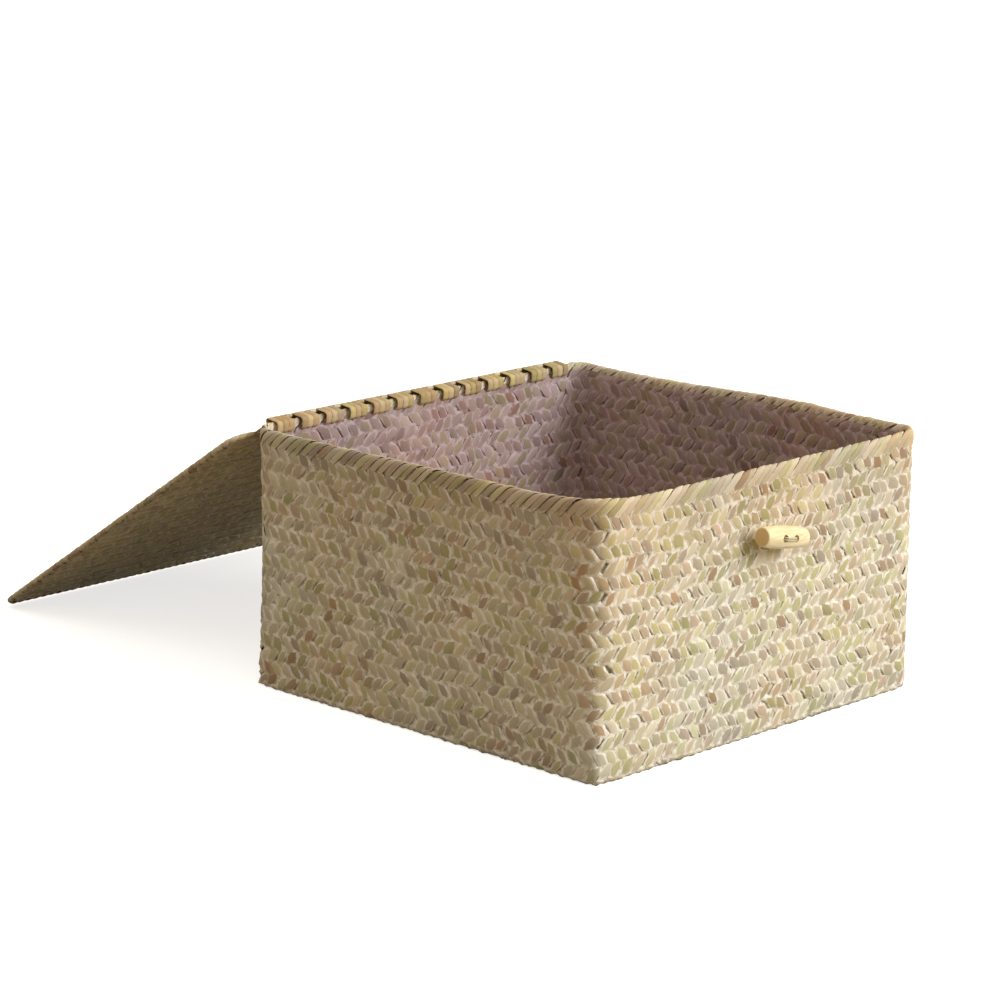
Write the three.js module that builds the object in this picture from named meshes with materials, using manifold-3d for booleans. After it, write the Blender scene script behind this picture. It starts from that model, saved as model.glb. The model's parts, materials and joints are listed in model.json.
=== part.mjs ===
// Plaited seagrass box with a flap lid, laced to the back rim, and a wooden toggle on the front wall.
// Millimetres, +Z up. The origin is on the table, under the middle of the base. The toggle faces -Y.
// The walls, base and lid are each two plaited layers: an outer plait that folds over the rim or
// the lid's edge and comes back as the lining. The lid lies open with its free edge on the table.
import * as THREE from "three";
import { mergeVertices } from "three/addons/utils/BufferGeometryUtils.js";
import Module from "manifold-3d";

const wasm = await Module();
wasm.setup();

// Box
const WIDTH = 215;
const DEPTH = 213;
const HEIGHT = 120;
const CORNER_RADIUS = 12;
const PLAIT = 2;
const CLEARANCE = 0.3;
const BASE_EDGE = 1.2;

// Rim, where the outer plait folds over to become the lining
const RIM_HEIGHT = 7;
const RIM_PROUD = 0.3;
const RIM_ROUND = 2;

// Lid
const LID_PLAIT = 1.35;
const LID_OVERHANG = 2.4;
const LID_CORNER_RADIUS = 8;
const LID_SEAT = 0.45;
const LID_BORDER = 5;
const LID_EDGE_ROUND = 0.8;
const TABLE_GAP = 0.3;

// Hinge: the lid's back edge is a rolled bar behind the back rim, held by lashings of flat strand. The
// closed lid lies a little above the hinge line.
const HINGE_BAR_DIAMETER = 3;
const HINGE_GAP = 0.4;
const LID_LIFT = 1.3;
const FOLD_THICKNESS = 1.8;
const FOLD_WEB = 2;
const LASH_WIDTH = 10.5;
const LASH_THICKNESS = 0.9;
const LASH_CORNER = 0.6;
const LASH_SPACING = 15;
const LASH_END_MARGIN = 12;

// Toggle and its thread
const TOGGLE_LENGTH = 28;
const TOGGLE_DIAMETER = 10.2;
const TOGGLE_END_DIAMETER = 8.4;
const TOGGLE_EDGE = 0.5;
const TOGGLE_HOLE_DIAMETER = 3.4;
const TOGGLE_HOLE_SPACING = 7.2;
const TOGGLE_DROP = 30;
const TOGGLE_STANDOFF = 3;
const TOGGLE_TILT = THREE.MathUtils.degToRad(10);
const THREAD_DIAMETER = 1.6;
const SHANK_DIAMETER = 2.6;
const KNOT_DIAMETER = 6;
const KNOT_THICKNESS = 3;

// Closure loop on the lid's free edge
const LOOP_CORD_DIAMETER = 3;
const LOOP_LENGTH = 40;
const LOOP_WIDTH = 15;
const LOOP_ROOT_SPACING = 10;

// Facets
const CORNER_STEPS = 4;
const EDGE_STEPS = 2;
const RIM_STEPS = 3;
const CORD_SIDES = 8;
const CORD_STEPS = 40;
const HOLE_SIDES = 12;
const BAR_SIDES = 16;
const BARREL_SIDES = 20;
const BARREL_STEPS = 10;

// Sizes that follow from the ones above
const WALL = 2 * PLAIT + CLEARANCE;
const RIM_BOTTOM = HEIGHT - RIM_HEIGHT;
const RIM_OUTSIDE = DEPTH / 2 + RIM_PROUD;
const RIM_INSIDE = DEPTH / 2 - WALL - RIM_PROUD;
const LID_HALF = LID_PLAIT + CLEARANCE / 2;
const HINGE_BAR = HINGE_BAR_DIAMETER / 2;
const HINGE_Y = RIM_OUTSIDE + HINGE_GAP + HINGE_BAR;
const HINGE_Z = HEIGHT + LID_SEAT + LID_HALF - LID_LIFT;
const LID_REACH = HINGE_Y + DEPTH / 2 + LID_OVERHANG;
const LID_UNDER = LID_LIFT + LID_HALF;
const OPEN_DROOP =
  Math.asin((HINGE_Z - TABLE_GAP) / Math.hypot(LID_REACH, LID_UNDER)) - Math.atan2(LID_UNDER, LID_REACH);
const NOTCH_REACH = HINGE_Y - RIM_INSIDE + LASH_THICKNESS + 2 * CLEARANCE;
const FOLD_REACH = NOTCH_REACH + FOLD_WEB;
const LID_START = FOLD_REACH + CLEARANCE;
const LID_CORNER_X = WIDTH / 2 - LID_CORNER_RADIUS;
const LID_CORNER_Y = LID_REACH - LID_CORNER_RADIUS;
const TOGGLE_Y = -DEPTH / 2 - TOGGLE_STANDOFF - TOGGLE_DIAMETER / 2;
const TOGGLE_Z = HEIGHT - TOGGLE_DROP;

const seagrass = new THREE.MeshStandardMaterial({ color: 0xb9a277, roughness: 0.75, metalness: 0 });
const liningGrass = new THREE.MeshStandardMaterial({ color: 0xa8906c, roughness: 0.8, metalness: 0 });
const rimGrass = new THREE.MeshStandardMaterial({ color: 0xb59c6c, roughness: 0.7, metalness: 0 });
const lashGrass = new THREE.MeshStandardMaterial({ color: 0xc6a671, roughness: 0.65, metalness: 0 });
const wood = new THREE.MeshStandardMaterial({ color: 0xe6cf94, roughness: 0.4, metalness: 0 });
const twine = new THREE.MeshStandardMaterial({ color: 0xd9c9a0, roughness: 0.8, metalness: 0 });

function mesh(name, geometry, material) {
  const made = new THREE.Mesh(geometry, material);
  made.name = name;
  return made;
}

// Booleans

function toSolid(geometry) {
  const bare = new THREE.BufferGeometry();
  const source = geometry.index ? geometry.toNonIndexed() : geometry;
  bare.setAttribute("position", source.getAttribute("position").clone());
  const merged = mergeVertices(bare, 1e-4);
  const vertProperties = new Float32Array(merged.attributes.position.array);
  const triVerts = new Uint32Array(merged.index.array);
  return new wasm.Manifold(new wasm.Mesh({ numProp: 3, vertProperties, triVerts }));
}

function toGeometry(solid) {
  const made = solid.getMesh();
  const geometry = new THREE.BufferGeometry();
  geometry.setAttribute("position", new THREE.BufferAttribute(made.vertProperties.slice(), 3));
  geometry.setIndex(new THREE.BufferAttribute(made.triVerts.slice(), 1));
  geometry.computeVertexNormals();
  return geometry;
}

const subtractAll = (geometry, tools) =>
  toGeometry(tools.reduce((solid, tool) => solid.subtract(toSolid(tool)), toSolid(geometry)));

const uniteAll = (geometries) =>
  toGeometry(geometries.slice(1).reduce((solid, g) => solid.add(toSolid(g)), toSolid(geometries[0])));

function boxBetween(low, high) {
  const geometry = new THREE.BoxGeometry(high[0] - low[0], high[1] - low[1], high[2] - low[2]);
  return geometry.translate((low[0] + high[0]) / 2, (low[1] + high[1]) / 2, (low[2] + high[2]) / 2);
}

// A skin over equal rings of points, capped at both ends. Each ring runs anticlockwise when it is looked
// at from the end of the skin.
function loft(rings, section) {
  const count = rings[0].length;
  const last = (rings.length - 1) * count;
  const positions = rings.flat().flatMap((p) => [p.x, p.y, p.z]);
  const index = [];
  for (let here = 0; here < last; here += count) {
    const next = here + count;
    for (let j = 0; j < count; j++) {
      const k = (j + 1) % count;
      index.push(here + j, here + k, next + k, here + j, next + k, next + j);
    }
  }
  for (const [a, b, c] of THREE.ShapeUtils.triangulateShape(section, [])) {
    index.push(a, c, b, last + a, last + b, last + c);
  }
  const geometry = new THREE.BufferGeometry();
  geometry.setAttribute("position", new THREE.Float32BufferAttribute(positions, 3));
  geometry.setIndex(index);
  geometry.computeVertexNormals();
  return geometry;
}

// Stops round part of a corner, as the corner's centre and the way out from it
const cornerStops = (x, y, from, to) =>
  Array.from({ length: CORNER_STEPS + 1 }, (_, i) => [x, y, from + ((to - from) * i) / CORNER_STEPS]);

// A section swept along straight edges and round corners of one radius. The section's x is the distance
// out from the edge and its y is the height. An end that is mitred stands back from the mitre by its trim.
function edgeSweep(section, radius, stops, trimStart, trimEnd) {
  const rings = stops.map(([x, y, angle], i) => {
    const back = i === 0 ? trimStart : i === stops.length - 1 ? -trimEnd : 0;
    const out = new THREE.Vector3(Math.cos(angle), Math.sin(angle), 0);
    const along = new THREE.Vector3(Math.sin(angle), -Math.cos(angle), 0);
    return section.map((p) =>
      new THREE.Vector3(x, y, p.y).addScaledVector(out, radius + p.x).addScaledVector(along, back),
    );
  });
  return loft(rings, section);
}

// One side of the box, from the middle of one rounded corner to the middle of the next
function sideSweep(section, length) {
  const middle = length / 2 - CORNER_RADIUS;
  const stops = [
    ...cornerStops(-middle, -CORNER_RADIUS, 0.75 * Math.PI, 0.5 * Math.PI),
    ...cornerStops(middle, -CORNER_RADIUS, 0.5 * Math.PI, 0.25 * Math.PI),
  ];
  return edgeSweep(section, CORNER_RADIUS, stops, CLEARANCE / 2, CLEARANCE / 2);
}

// A shape's points without the doubled ones where two arcs meet or the outline closes
const outlineOf = (shape, steps) =>
  shape.getPoints(steps).filter((p, i, all) => p.distanceTo(all[(i + 1) % all.length]) > 1e-6);

const rectangle = (x0, x1, y0, y1) => [
  new THREE.Vector2(x0, y0),
  new THREE.Vector2(x1, y0),
  new THREE.Vector2(x1, y1),
  new THREE.Vector2(x0, y1),
];

// The four sides: which way each faces, how long it is and how far its outer face is from the middle
const SIDES = [
  { side: "front", turn: Math.PI, length: WIDTH, reach: DEPTH / 2 },
  { side: "back", turn: 0, length: WIDTH, reach: DEPTH / 2 },
  { side: "left", turn: Math.PI / 2, length: DEPTH, reach: WIDTH / 2 },
  { side: "right", turn: -Math.PI / 2, length: DEPTH, reach: WIDTH / 2 },
];

function placeSide(geometry, { turn, reach }) {
  return geometry.translate(0, reach, 0).rotateZ(turn);
}

// Lashing places along the hinge, evenly spaced about the middle
const LASH_COUNT = 1 + 2 * Math.floor((WIDTH / 2 - LASH_END_MARGIN - LASH_WIDTH / 2) / LASH_SPACING);
const LASH_X = Array.from({ length: LASH_COUNT }, (_, i) => (i - (LASH_COUNT - 1) / 2) * LASH_SPACING);
const LASH_CUT = LASH_WIDTH / 2 + CLEARANCE;

// Slots along the foot of the back rim, for the lashings to pass through
function lashSlots() {
  const low = RIM_BOTTOM - CLEARANCE;
  const high = RIM_BOTTOM + LASH_THICKNESS + 2 * CLEARANCE;
  return LASH_X.map((x) =>
    boxBetween([x - LASH_CUT, RIM_INSIDE - CLEARANCE, low], [x + LASH_CUT, RIM_OUTSIDE + CLEARANCE, high]),
  );
}

// The hole in the front wall that the toggle's shank turns in
function shankHole() {
  const radius = SHANK_DIAMETER / 2 + CLEARANCE;
  return new THREE.CylinderGeometry(radius, radius, 4 * WALL, BAR_SIDES).translate(0, -DEPTH / 2, TOGGLE_Z);
}

function wallSolid(spec, outer, inner, bottom) {
  const geometry = placeSide(sideSweep(rectangle(-inner, -outer, bottom, RIM_BOTTOM), spec.length), spec);
  return spec.side === "front" ? subtractAll(geometry, [shankHole()]) : geometry;
}

function roundedRectangle(width, depth, radius) {
  const x = width / 2;
  const y = depth / 2;
  const shape = new THREE.Shape();
  shape.absarc(x - radius, y - radius, radius, 0, Math.PI / 2);
  shape.absarc(-x + radius, y - radius, radius, Math.PI / 2, Math.PI);
  shape.absarc(-x + radius, -y + radius, radius, Math.PI, 1.5 * Math.PI);
  shape.absarc(x - radius, -y + radius, radius, 1.5 * Math.PI, 2 * Math.PI);
  return shape;
}

// The outer base covers the whole footprint, with its lower edge turned up in a small bevel.
function outerBase() {
  const flat = { depth: PLAIT - BASE_EDGE, bevelEnabled: false, curveSegments: 2 * CORNER_STEPS };
  const upper = new THREE.ExtrudeGeometry(roundedRectangle(WIDTH, DEPTH, CORNER_RADIUS), flat);
  upper.translate(0, 0, BASE_EDGE);
  const ring = (inset, z) =>
    outlineOf(
      roundedRectangle(WIDTH - 2 * inset, DEPTH - 2 * inset, CORNER_RADIUS - inset),
      2 * CORNER_STEPS,
    ).map((p) => new THREE.Vector3(p.x, p.y, z));
  const low = ring(BASE_EDGE, 0);
  const high = ring(0, BASE_EDGE);
  const section = low.map((p) => new THREE.Vector2(p.x, p.y));
  return uniteAll([upper, loft([low, high], section)]);
}

function liningBase() {
  const inset = PLAIT + CLEARANCE;
  const shape = roundedRectangle(WIDTH - 2 * inset, DEPTH - 2 * inset, CORNER_RADIUS - inset);
  const flat = { depth: PLAIT, bevelEnabled: false, curveSegments: 2 * CORNER_STEPS };
  return new THREE.ExtrudeGeometry(shape, flat).translate(0, 0, PLAIT);
}

// The rim's section is a bar as wide as the wall and a little proud of it, with a rounded top.
function rimSection() {
  const outside = RIM_PROUD;
  const inside = -WALL - RIM_PROUD;
  const shape = new THREE.Shape();
  shape.moveTo(inside, RIM_BOTTOM);
  shape.lineTo(outside, RIM_BOTTOM);
  shape.absarc(outside - RIM_ROUND, HEIGHT - RIM_ROUND, RIM_ROUND, 0, Math.PI / 2);
  shape.absarc(inside + RIM_ROUND, HEIGHT - RIM_ROUND, RIM_ROUND, Math.PI / 2, Math.PI);
  return outlineOf(shape, RIM_STEPS);
}

function rim(spec) {
  const geometry = placeSide(sideSweep(rimSection(), spec.length), spec);
  return spec.side === "back" ? subtractAll(geometry, lashSlots()) : geometry;
}

// The outline of a belt pulled tight round bends, which are given anticlockwise by their places and radii
function beltRound(bends, grow) {
  const ways = bends.map(([x, y, radius], i) => {
    const [nextX, nextY, nextRadius] = bends[(i + 1) % bends.length];
    const apart = Math.hypot(nextX - x, nextY - y);
    return Math.atan2(nextY - y, nextX - x) - Math.acos((radius - nextRadius) / apart);
  });
  const shape = new THREE.Shape();
  bends.forEach(([x, y, radius], i) => shape.absarc(x, y, radius + grow, ways.at(i - 1), ways[i]));
  return outlineOf(shape, RIM_STEPS);
}

// A lashing: a flat strand drawn through the foot of the rim, round the rim and over the lid's rolled edge
function lashing(x) {
  const foot = RIM_BOTTOM + CLEARANCE + LASH_THICKNESS + LASH_CORNER;
  const bends = [
    [RIM_INSIDE - CLEARANCE + LASH_CORNER, foot, LASH_CORNER],
    [RIM_OUTSIDE + CLEARANCE - LASH_CORNER, foot, LASH_CORNER],
    [HINGE_Y, HINGE_Z, HINGE_BAR + CLEARANCE],
    [RIM_INSIDE + RIM_ROUND, HEIGHT - RIM_ROUND, RIM_ROUND + CLEARANCE],
  ];
  const ring = new THREE.Shape(beltRound(bends, LASH_THICKNESS));
  ring.holes.push(new THREE.Path(beltRound(bends, 0).reverse()));
  const geometry = new THREE.ExtrudeGeometry(ring, { depth: LASH_WIDTH, bevelEnabled: false });
  const axes = [new THREE.Vector3(0, 1, 0), new THREE.Vector3(0, 0, 1), new THREE.Vector3(1, 0, 0)];
  return geometry.applyMatrix4(new THREE.Matrix4().makeBasis(...axes)).translate(x - LASH_WIDTH / 2, 0, 0);
}

// The lid lies along +Y from its hinge, with the lining side up, and its group turns it. Its middle is
// below the hinge line by the lift.

// A mat fills the space inside the borders, so its free corners are rounded to suit.
function lidMat(low, high) {
  const inset = LID_BORDER + CLEARANCE;
  const radius = LID_CORNER_RADIUS - inset;
  const shape = new THREE.Shape();
  shape.moveTo(-WIDTH / 2 + inset, LID_START);
  shape.lineTo(WIDTH / 2 - inset, LID_START);
  shape.absarc(LID_CORNER_X, LID_CORNER_Y, radius, 0, Math.PI / 2);
  shape.absarc(-LID_CORNER_X, LID_CORNER_Y, radius, Math.PI / 2, Math.PI);
  const flat = { depth: high - low, bevelEnabled: false, curveSegments: CORNER_STEPS };
  return new THREE.ExtrudeGeometry(shape, flat).translate(0, 0, low - LID_LIFT);
}

const lidBorderSection = () =>
  outlineOf(roundedRectangle(LID_BORDER, 2 * LID_HALF, LID_EDGE_ROUND), EDGE_STEPS).map(
    (p) => new THREE.Vector2(p.x - LID_BORDER / 2, p.y - LID_LIFT),
  );

// The borders are mitred in the middle of the two free corners, and the side ones stop at the fold.
function lidBorder(stops, trimStart, trimEnd) {
  return edgeSweep(lidBorderSection(), LID_CORNER_RADIUS, stops, trimStart, trimEnd);
}

const lidLeftBorder = () =>
  lidBorder(
    [
      [-LID_CORNER_X, LID_START, Math.PI],
      ...cornerStops(-LID_CORNER_X, LID_CORNER_Y, Math.PI, 0.75 * Math.PI),
    ],
    0,
    CLEARANCE / 2,
  );

const lidFrontBorder = () =>
  lidBorder(
    [
      ...cornerStops(-LID_CORNER_X, LID_CORNER_Y, 0.75 * Math.PI, 0.5 * Math.PI),
      ...cornerStops(LID_CORNER_X, LID_CORNER_Y, 0.5 * Math.PI, 0.25 * Math.PI),
    ],
    CLEARANCE / 2,
    CLEARANCE / 2,
  );

const lidRightBorder = () =>
  lidBorder(
    [...cornerStops(LID_CORNER_X, LID_CORNER_Y, 0.25 * Math.PI, 0), [LID_CORNER_X, LID_START, 0]],
    CLEARANCE / 2,
    0,
  );

// The lid's back edge: a rolled bar on the hinge line and a thin fold, notched to clear the lashings
function lidHingeFold() {
  const half = WIDTH / 2 - LID_BORDER / 2;
  const low = -LID_LIFT - FOLD_THICKNESS / 2;
  const high = -LID_LIFT + FOLD_THICKNESS / 2;
  const fold = boxBetween([-half, 0, low], [half, FOLD_REACH, high]);
  const notches = LASH_X.map((x) =>
    boxBetween([x - LASH_CUT, -CLEARANCE, low - CLEARANCE], [x + LASH_CUT, NOTCH_REACH, high + CLEARANCE]),
  );
  const bar = new THREE.CylinderGeometry(HINGE_BAR, HINGE_BAR, 2 * half, BAR_SIDES).rotateZ(Math.PI / 2);
  return uniteAll([bar, subtractAll(fold, notches)]);
}

// A round cord along a curve
function cordAlong(points, radius) {
  const section = new THREE.Shape().absarc(0, 0, radius, 0, 2 * Math.PI);
  const extrudePath = new THREE.CatmullRomCurve3(
    points.map(([x, y]) => new THREE.Vector3(x, y, 0)),
    false,
    "centripetal",
  );
  const round = new THREE.Shape(outlineOf(section, CORD_SIDES / 2));
  return new THREE.ExtrudeGeometry(round, { steps: CORD_STEPS, extrudePath, bevelEnabled: false });
}

// The toggle is a turned barrel along X with two holes through it along Y.
function toggleBarrel() {
  const half = TOGGLE_LENGTH / 2;
  const end = TOGGLE_END_DIAMETER / 2;
  const bulge = new THREE.QuadraticBezierCurve(
    new THREE.Vector2(end, -half + TOGGLE_EDGE),
    new THREE.Vector2(TOGGLE_DIAMETER - end, 0),
    new THREE.Vector2(end, half - TOGGLE_EDGE),
  );
  const profile = [
    new THREE.Vector2(0, -half),
    new THREE.Vector2(end - TOGGLE_EDGE, -half),
    ...bulge.getPoints(BARREL_STEPS),
    new THREE.Vector2(end - TOGGLE_EDGE, half),
    new THREE.Vector2(0, half),
  ];
  const barrel = new THREE.LatheGeometry(profile, BARREL_SIDES).rotateZ(Math.PI / 2);
  const radius = TOGGLE_HOLE_DIAMETER / 2;
  const hole = new THREE.CylinderGeometry(radius, radius, 2 * TOGGLE_DIAMETER, HOLE_SIDES);
  const holes = [-0.5, 0.5].map((share) => hole.clone().translate(share * TOGGLE_HOLE_SPACING, 0, 0));
  return subtractAll(barrel, holes);
}

// The thread runs from its shank through both holes and back, and the shank goes through the wall
// to a knot on the inside.
function toggleThread() {
  const radius = THREAD_DIAMETER / 2;
  const x = TOGGLE_HOLE_SPACING / 2;
  const y = TOGGLE_DIAMETER / 2 + CLEARANCE + radius;
  const side = [
    [radius / 2, y],
    [x - radius, y],
    [x, y - radius],
    [x, 0],
    [x, radius - y],
    [x - radius, -y],
  ];
  const route = [...side, ...side.map(([across, out]) => [-across, out]).reverse()];
  const knotMiddle = TOGGLE_DIAMETER / 2 + TOGGLE_STANDOFF + WALL + CLEARANCE + KNOT_THICKNESS / 2;
  const shankStart = y - radius;
  const shank = new THREE.CylinderGeometry(
    SHANK_DIAMETER / 2,
    SHANK_DIAMETER / 2,
    knotMiddle - shankStart,
    HOLE_SIDES,
  );
  shank.translate(0, (shankStart + knotMiddle) / 2, 0);
  const knot = new THREE.SphereGeometry(KNOT_DIAMETER / 2, HOLE_SIDES, CORD_SIDES);
  knot.scale(1, KNOT_THICKNESS / KNOT_DIAMETER, 1).translate(0, knotMiddle, 0);
  return uniteAll([cordAlong(route, radius), shank, knot]);
}

// The closure loop lies flat along +Y from its two roots on the lid's free edge.
function closureLoop() {
  const radius = LOOP_CORD_DIAMETER / 2;
  const root = LOOP_ROOT_SPACING / 2;
  const wide = LOOP_WIDTH / 2 - radius;
  const far = LOOP_LENGTH - radius;
  const right = [
    [root, 0],
    [root, 2 * radius],
    [wide, far - 2 * wide],
    [wide, far - wide],
    [wide * Math.SQRT1_2, far - wide * (1 - Math.SQRT1_2)],
  ];
  const route = [...right, [0, far], ...right.map(([x, y]) => [-x, y]).reverse()];
  const end = new THREE.SphereGeometry(radius, HOLE_SIDES, CORD_SIDES);
  const ends = [-root, root].map((x) => end.clone().translate(x, 0, 0));
  return uniteAll([cordAlong(route, radius), ...ends]);
}

// Assembly

const basket = new THREE.Group();
basket.name = "basket";
basket.add(mesh("outer_base", outerBase(), seagrass));
basket.add(mesh("lining_base", liningBase(), liningGrass));
for (const spec of SIDES) {
  const outer = wallSolid(spec, 0, PLAIT, PLAIT);
  const lining = wallSolid(spec, PLAIT + CLEARANCE, WALL, 2 * PLAIT);
  basket.add(mesh(`outer_${spec.side}_wall`, outer, seagrass));
  basket.add(mesh(`lining_${spec.side}_wall`, lining, liningGrass));
  basket.add(mesh(`rim_${spec.side}`, rim(spec), rimGrass));
}
LASH_X.forEach((x, i) => {
  basket.add(mesh(`hinge_lash_${String(i + 1).padStart(2, "0")}`, lashing(x), lashGrass));
});

const toggle = new THREE.Group();
toggle.name = "toggle_group";
toggle.position.set(0, TOGGLE_Y, TOGGLE_Z);
toggle.rotation.y = TOGGLE_TILT;
toggle.add(mesh("toggle", toggleBarrel(), wood));
toggle.add(mesh("toggle_thread", toggleThread(), twine));

const lid = new THREE.Group();
lid.name = "lid_group";
lid.position.set(0, HINGE_Y, HINGE_Z);
lid.rotation.x = -OPEN_DROOP;
lid.add(mesh("lid_outer_mat", lidMat(-LID_HALF, -CLEARANCE / 2), seagrass));
lid.add(mesh("lid_inner_mat", lidMat(CLEARANCE / 2, LID_HALF), liningGrass));
lid.add(mesh("lid_left_border", lidLeftBorder(), rimGrass));
lid.add(mesh("lid_right_border", lidRightBorder(), rimGrass));
lid.add(mesh("lid_front_border", lidFrontBorder(), rimGrass));
lid.add(mesh("lid_hinge_fold", lidHingeFold(), rimGrass));

// The loop's roots sit just off the lid's free edge, at the height that lays the cord on the table.
const LOOP_ROOT_REACH = LID_REACH + LOOP_CORD_DIAMETER / 2 + CLEARANCE;
const LOOP_ROOT_DROP = LOOP_ROOT_REACH * Math.sin(OPEN_DROOP);
const LOOP_ROOT_LIFT =
  (LOOP_CORD_DIAMETER / 2 + TABLE_GAP - HINGE_Z + LOOP_ROOT_DROP) / Math.cos(OPEN_DROOP);
const loop = new THREE.Group();
loop.name = "loop_group";
loop.position.set(0, LOOP_ROOT_REACH, LOOP_ROOT_LIFT);
loop.rotation.x = OPEN_DROOP;
loop.add(mesh("closure_loop", closureLoop(), twine));
lid.add(loop);

const box = new THREE.Group();
box.add(basket, toggle, lid);

export default box;
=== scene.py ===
"""Looks of a plaited seagrass box: every strand, the laced lid, the wooden toggle and its cord loop.

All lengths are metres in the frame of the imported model. The box stands on z = 0 with its toggle wall
towards -Y, and the lid lies open towards +Y with its free edge on the table.
"""
import json
import math

import bpy
import numpy as np
from bpy.props import FloatProperty, FloatVectorProperty, IntProperty, PointerProperty
from mathutils import Matrix, Vector

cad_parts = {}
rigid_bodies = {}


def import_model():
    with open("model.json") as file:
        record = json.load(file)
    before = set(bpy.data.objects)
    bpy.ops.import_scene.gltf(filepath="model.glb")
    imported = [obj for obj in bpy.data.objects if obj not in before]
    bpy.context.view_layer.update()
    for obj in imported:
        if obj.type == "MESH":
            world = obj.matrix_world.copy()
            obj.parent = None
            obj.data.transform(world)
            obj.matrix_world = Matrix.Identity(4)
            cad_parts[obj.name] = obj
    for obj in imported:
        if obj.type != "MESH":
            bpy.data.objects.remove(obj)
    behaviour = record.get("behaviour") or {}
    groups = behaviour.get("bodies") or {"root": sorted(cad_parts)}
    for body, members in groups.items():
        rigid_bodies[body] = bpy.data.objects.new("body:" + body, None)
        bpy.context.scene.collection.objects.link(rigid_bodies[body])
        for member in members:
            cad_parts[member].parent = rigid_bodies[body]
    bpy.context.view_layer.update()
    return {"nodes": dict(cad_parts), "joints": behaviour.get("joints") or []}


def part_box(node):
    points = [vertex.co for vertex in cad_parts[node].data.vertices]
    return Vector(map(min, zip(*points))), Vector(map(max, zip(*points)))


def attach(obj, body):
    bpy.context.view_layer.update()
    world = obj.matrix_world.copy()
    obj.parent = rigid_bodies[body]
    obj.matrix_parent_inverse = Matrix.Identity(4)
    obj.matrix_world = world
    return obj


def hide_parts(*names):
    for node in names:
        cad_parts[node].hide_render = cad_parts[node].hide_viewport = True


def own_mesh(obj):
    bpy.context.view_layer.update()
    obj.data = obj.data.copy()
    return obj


bl_info = {
    "name": "Plaited seagrass box",
    "version": (1, 0, 0),
    "blender": (4, 5, 0),
    "location": "View3D > Sidebar > Box",
    "description": "Plaits a lidded seagrass box strand by strand round a packed model",
    "category": "Object",
}

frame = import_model()
JOINTS = {joint["name"]: joint for joint in frame["joints"]}
MM = 0.001

# Sizes and places read from the frame
BASE_LOW, BASE_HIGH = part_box("outer_base")
RIM_LOW, RIM_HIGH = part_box("rim_front")
WIDTH = BASE_HIGH.x - BASE_LOW.x
DEPTH = BASE_HIGH.y - BASE_LOW.y
HEIGHT = RIM_HIGH.z
RIM_BOTTOM = RIM_LOW.z
FLOOR_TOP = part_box("lining_base")[1].z
HINGE = Vector(JOINTS["lid_hinge"]["pos_m"])
DROOP = math.radians(JOINTS["lid_hinge"]["range_deg"][1]) - math.pi
LOOP_ROOT = Vector(JOINTS["loop_flex"]["pos_m"])
TOGGLE = Vector(JOINTS["toggle_swivel"]["pos_m"])
LASHES = sorted(name for name in frame["nodes"] if name.startswith("hinge_lash"))
LASH_MIDDLES = [sum(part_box(name), Vector()) / 2 for name in LASHES]
SIDES = ("front", "right", "back", "left")

# The lid in its own plane: x across, y out from the hinge line, z towards the inner face
LID_FRAME = Matrix.Translation(HINGE) @ Matrix.Rotation(-DROOP, 4, "X")


def length_property(name, value, note):
    return FloatProperty(name=name, default=value, unit="LENGTH", description=note)


def angle_property(name, degrees, note):
    return FloatProperty(name=name, default=math.radians(degrees), subtype="ANGLE", description=note)


def colour_property(name, value, note):
    return FloatVectorProperty(
        name=name, subtype="COLOR", size=3, default=value, min=0, max=1, description=note,
    )


class BoxSizes(bpy.types.PropertyGroup):
    """Sizes of the box's plait, folds and closure"""

    strands: IntProperty(
        name="Strands", default=132, min=40, max=240, description="Strands of each slant round the box",
    )
    strand_fill: FloatProperty(
        name="Strand fill", default=1.15, subtype="FACTOR", min=0.5, max=1.3,
        description="Strand width as a share of the space between strands",
    )
    steepness: angle_property("Steepness", 55, "Slope of a float where it shows, between its two dives")
    skew: angle_property("Skew", 6, "How much steeper falling floats stand, and flatter rising ones")
    band: length_property("Band height", 6.15 * MM, "Height of one band of floats up a wall")
    looseness: length_property("Looseness", 0.55 * MM, "How far floats stray from their places")
    strand_thickness: length_property("Strand thickness", 0.9 * MM, "Scale of the strand's rounded section")
    lift: length_property("Lift", 0.32 * MM, "How far a strand rises over, or dips under, its layer's middle")
    layer: length_property("Layer", 2.0 * MM, "Thickness of one plaited layer")
    wall: length_property("Wall", 4.3 * MM, "Thickness of the double wall")
    lid_layer: length_property("Lid layer", 1.35 * MM, "Thickness of one layer of the lid")
    lid_thickness: length_property("Lid thickness", 3 * MM, "Thickness of the double lid")
    lid_lift: length_property("Lid lift", 1.3 * MM, "Height of the closed lid's middle above the hinge line")
    corner: length_property("Corner radius", 12 * MM, "Radius of the upright corners")
    foot: length_property("Foot radius", 1.0 * MM, "Radius of the turn into the base")
    foot_reach: length_property("Foot reach", 55 * MM, "Height below which corners are drawn out to a point")
    lid_overhang: length_property("Lid overhang", 2.4 * MM, "Reach of the closed lid past the front wall")
    lid_start: length_property("Lid start", 10.6 * MM, "Distance of the lid's plait from the hinge line")
    lid_corner: length_property("Lid corner", 8 * MM, "Radius of the lid's corners")


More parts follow.
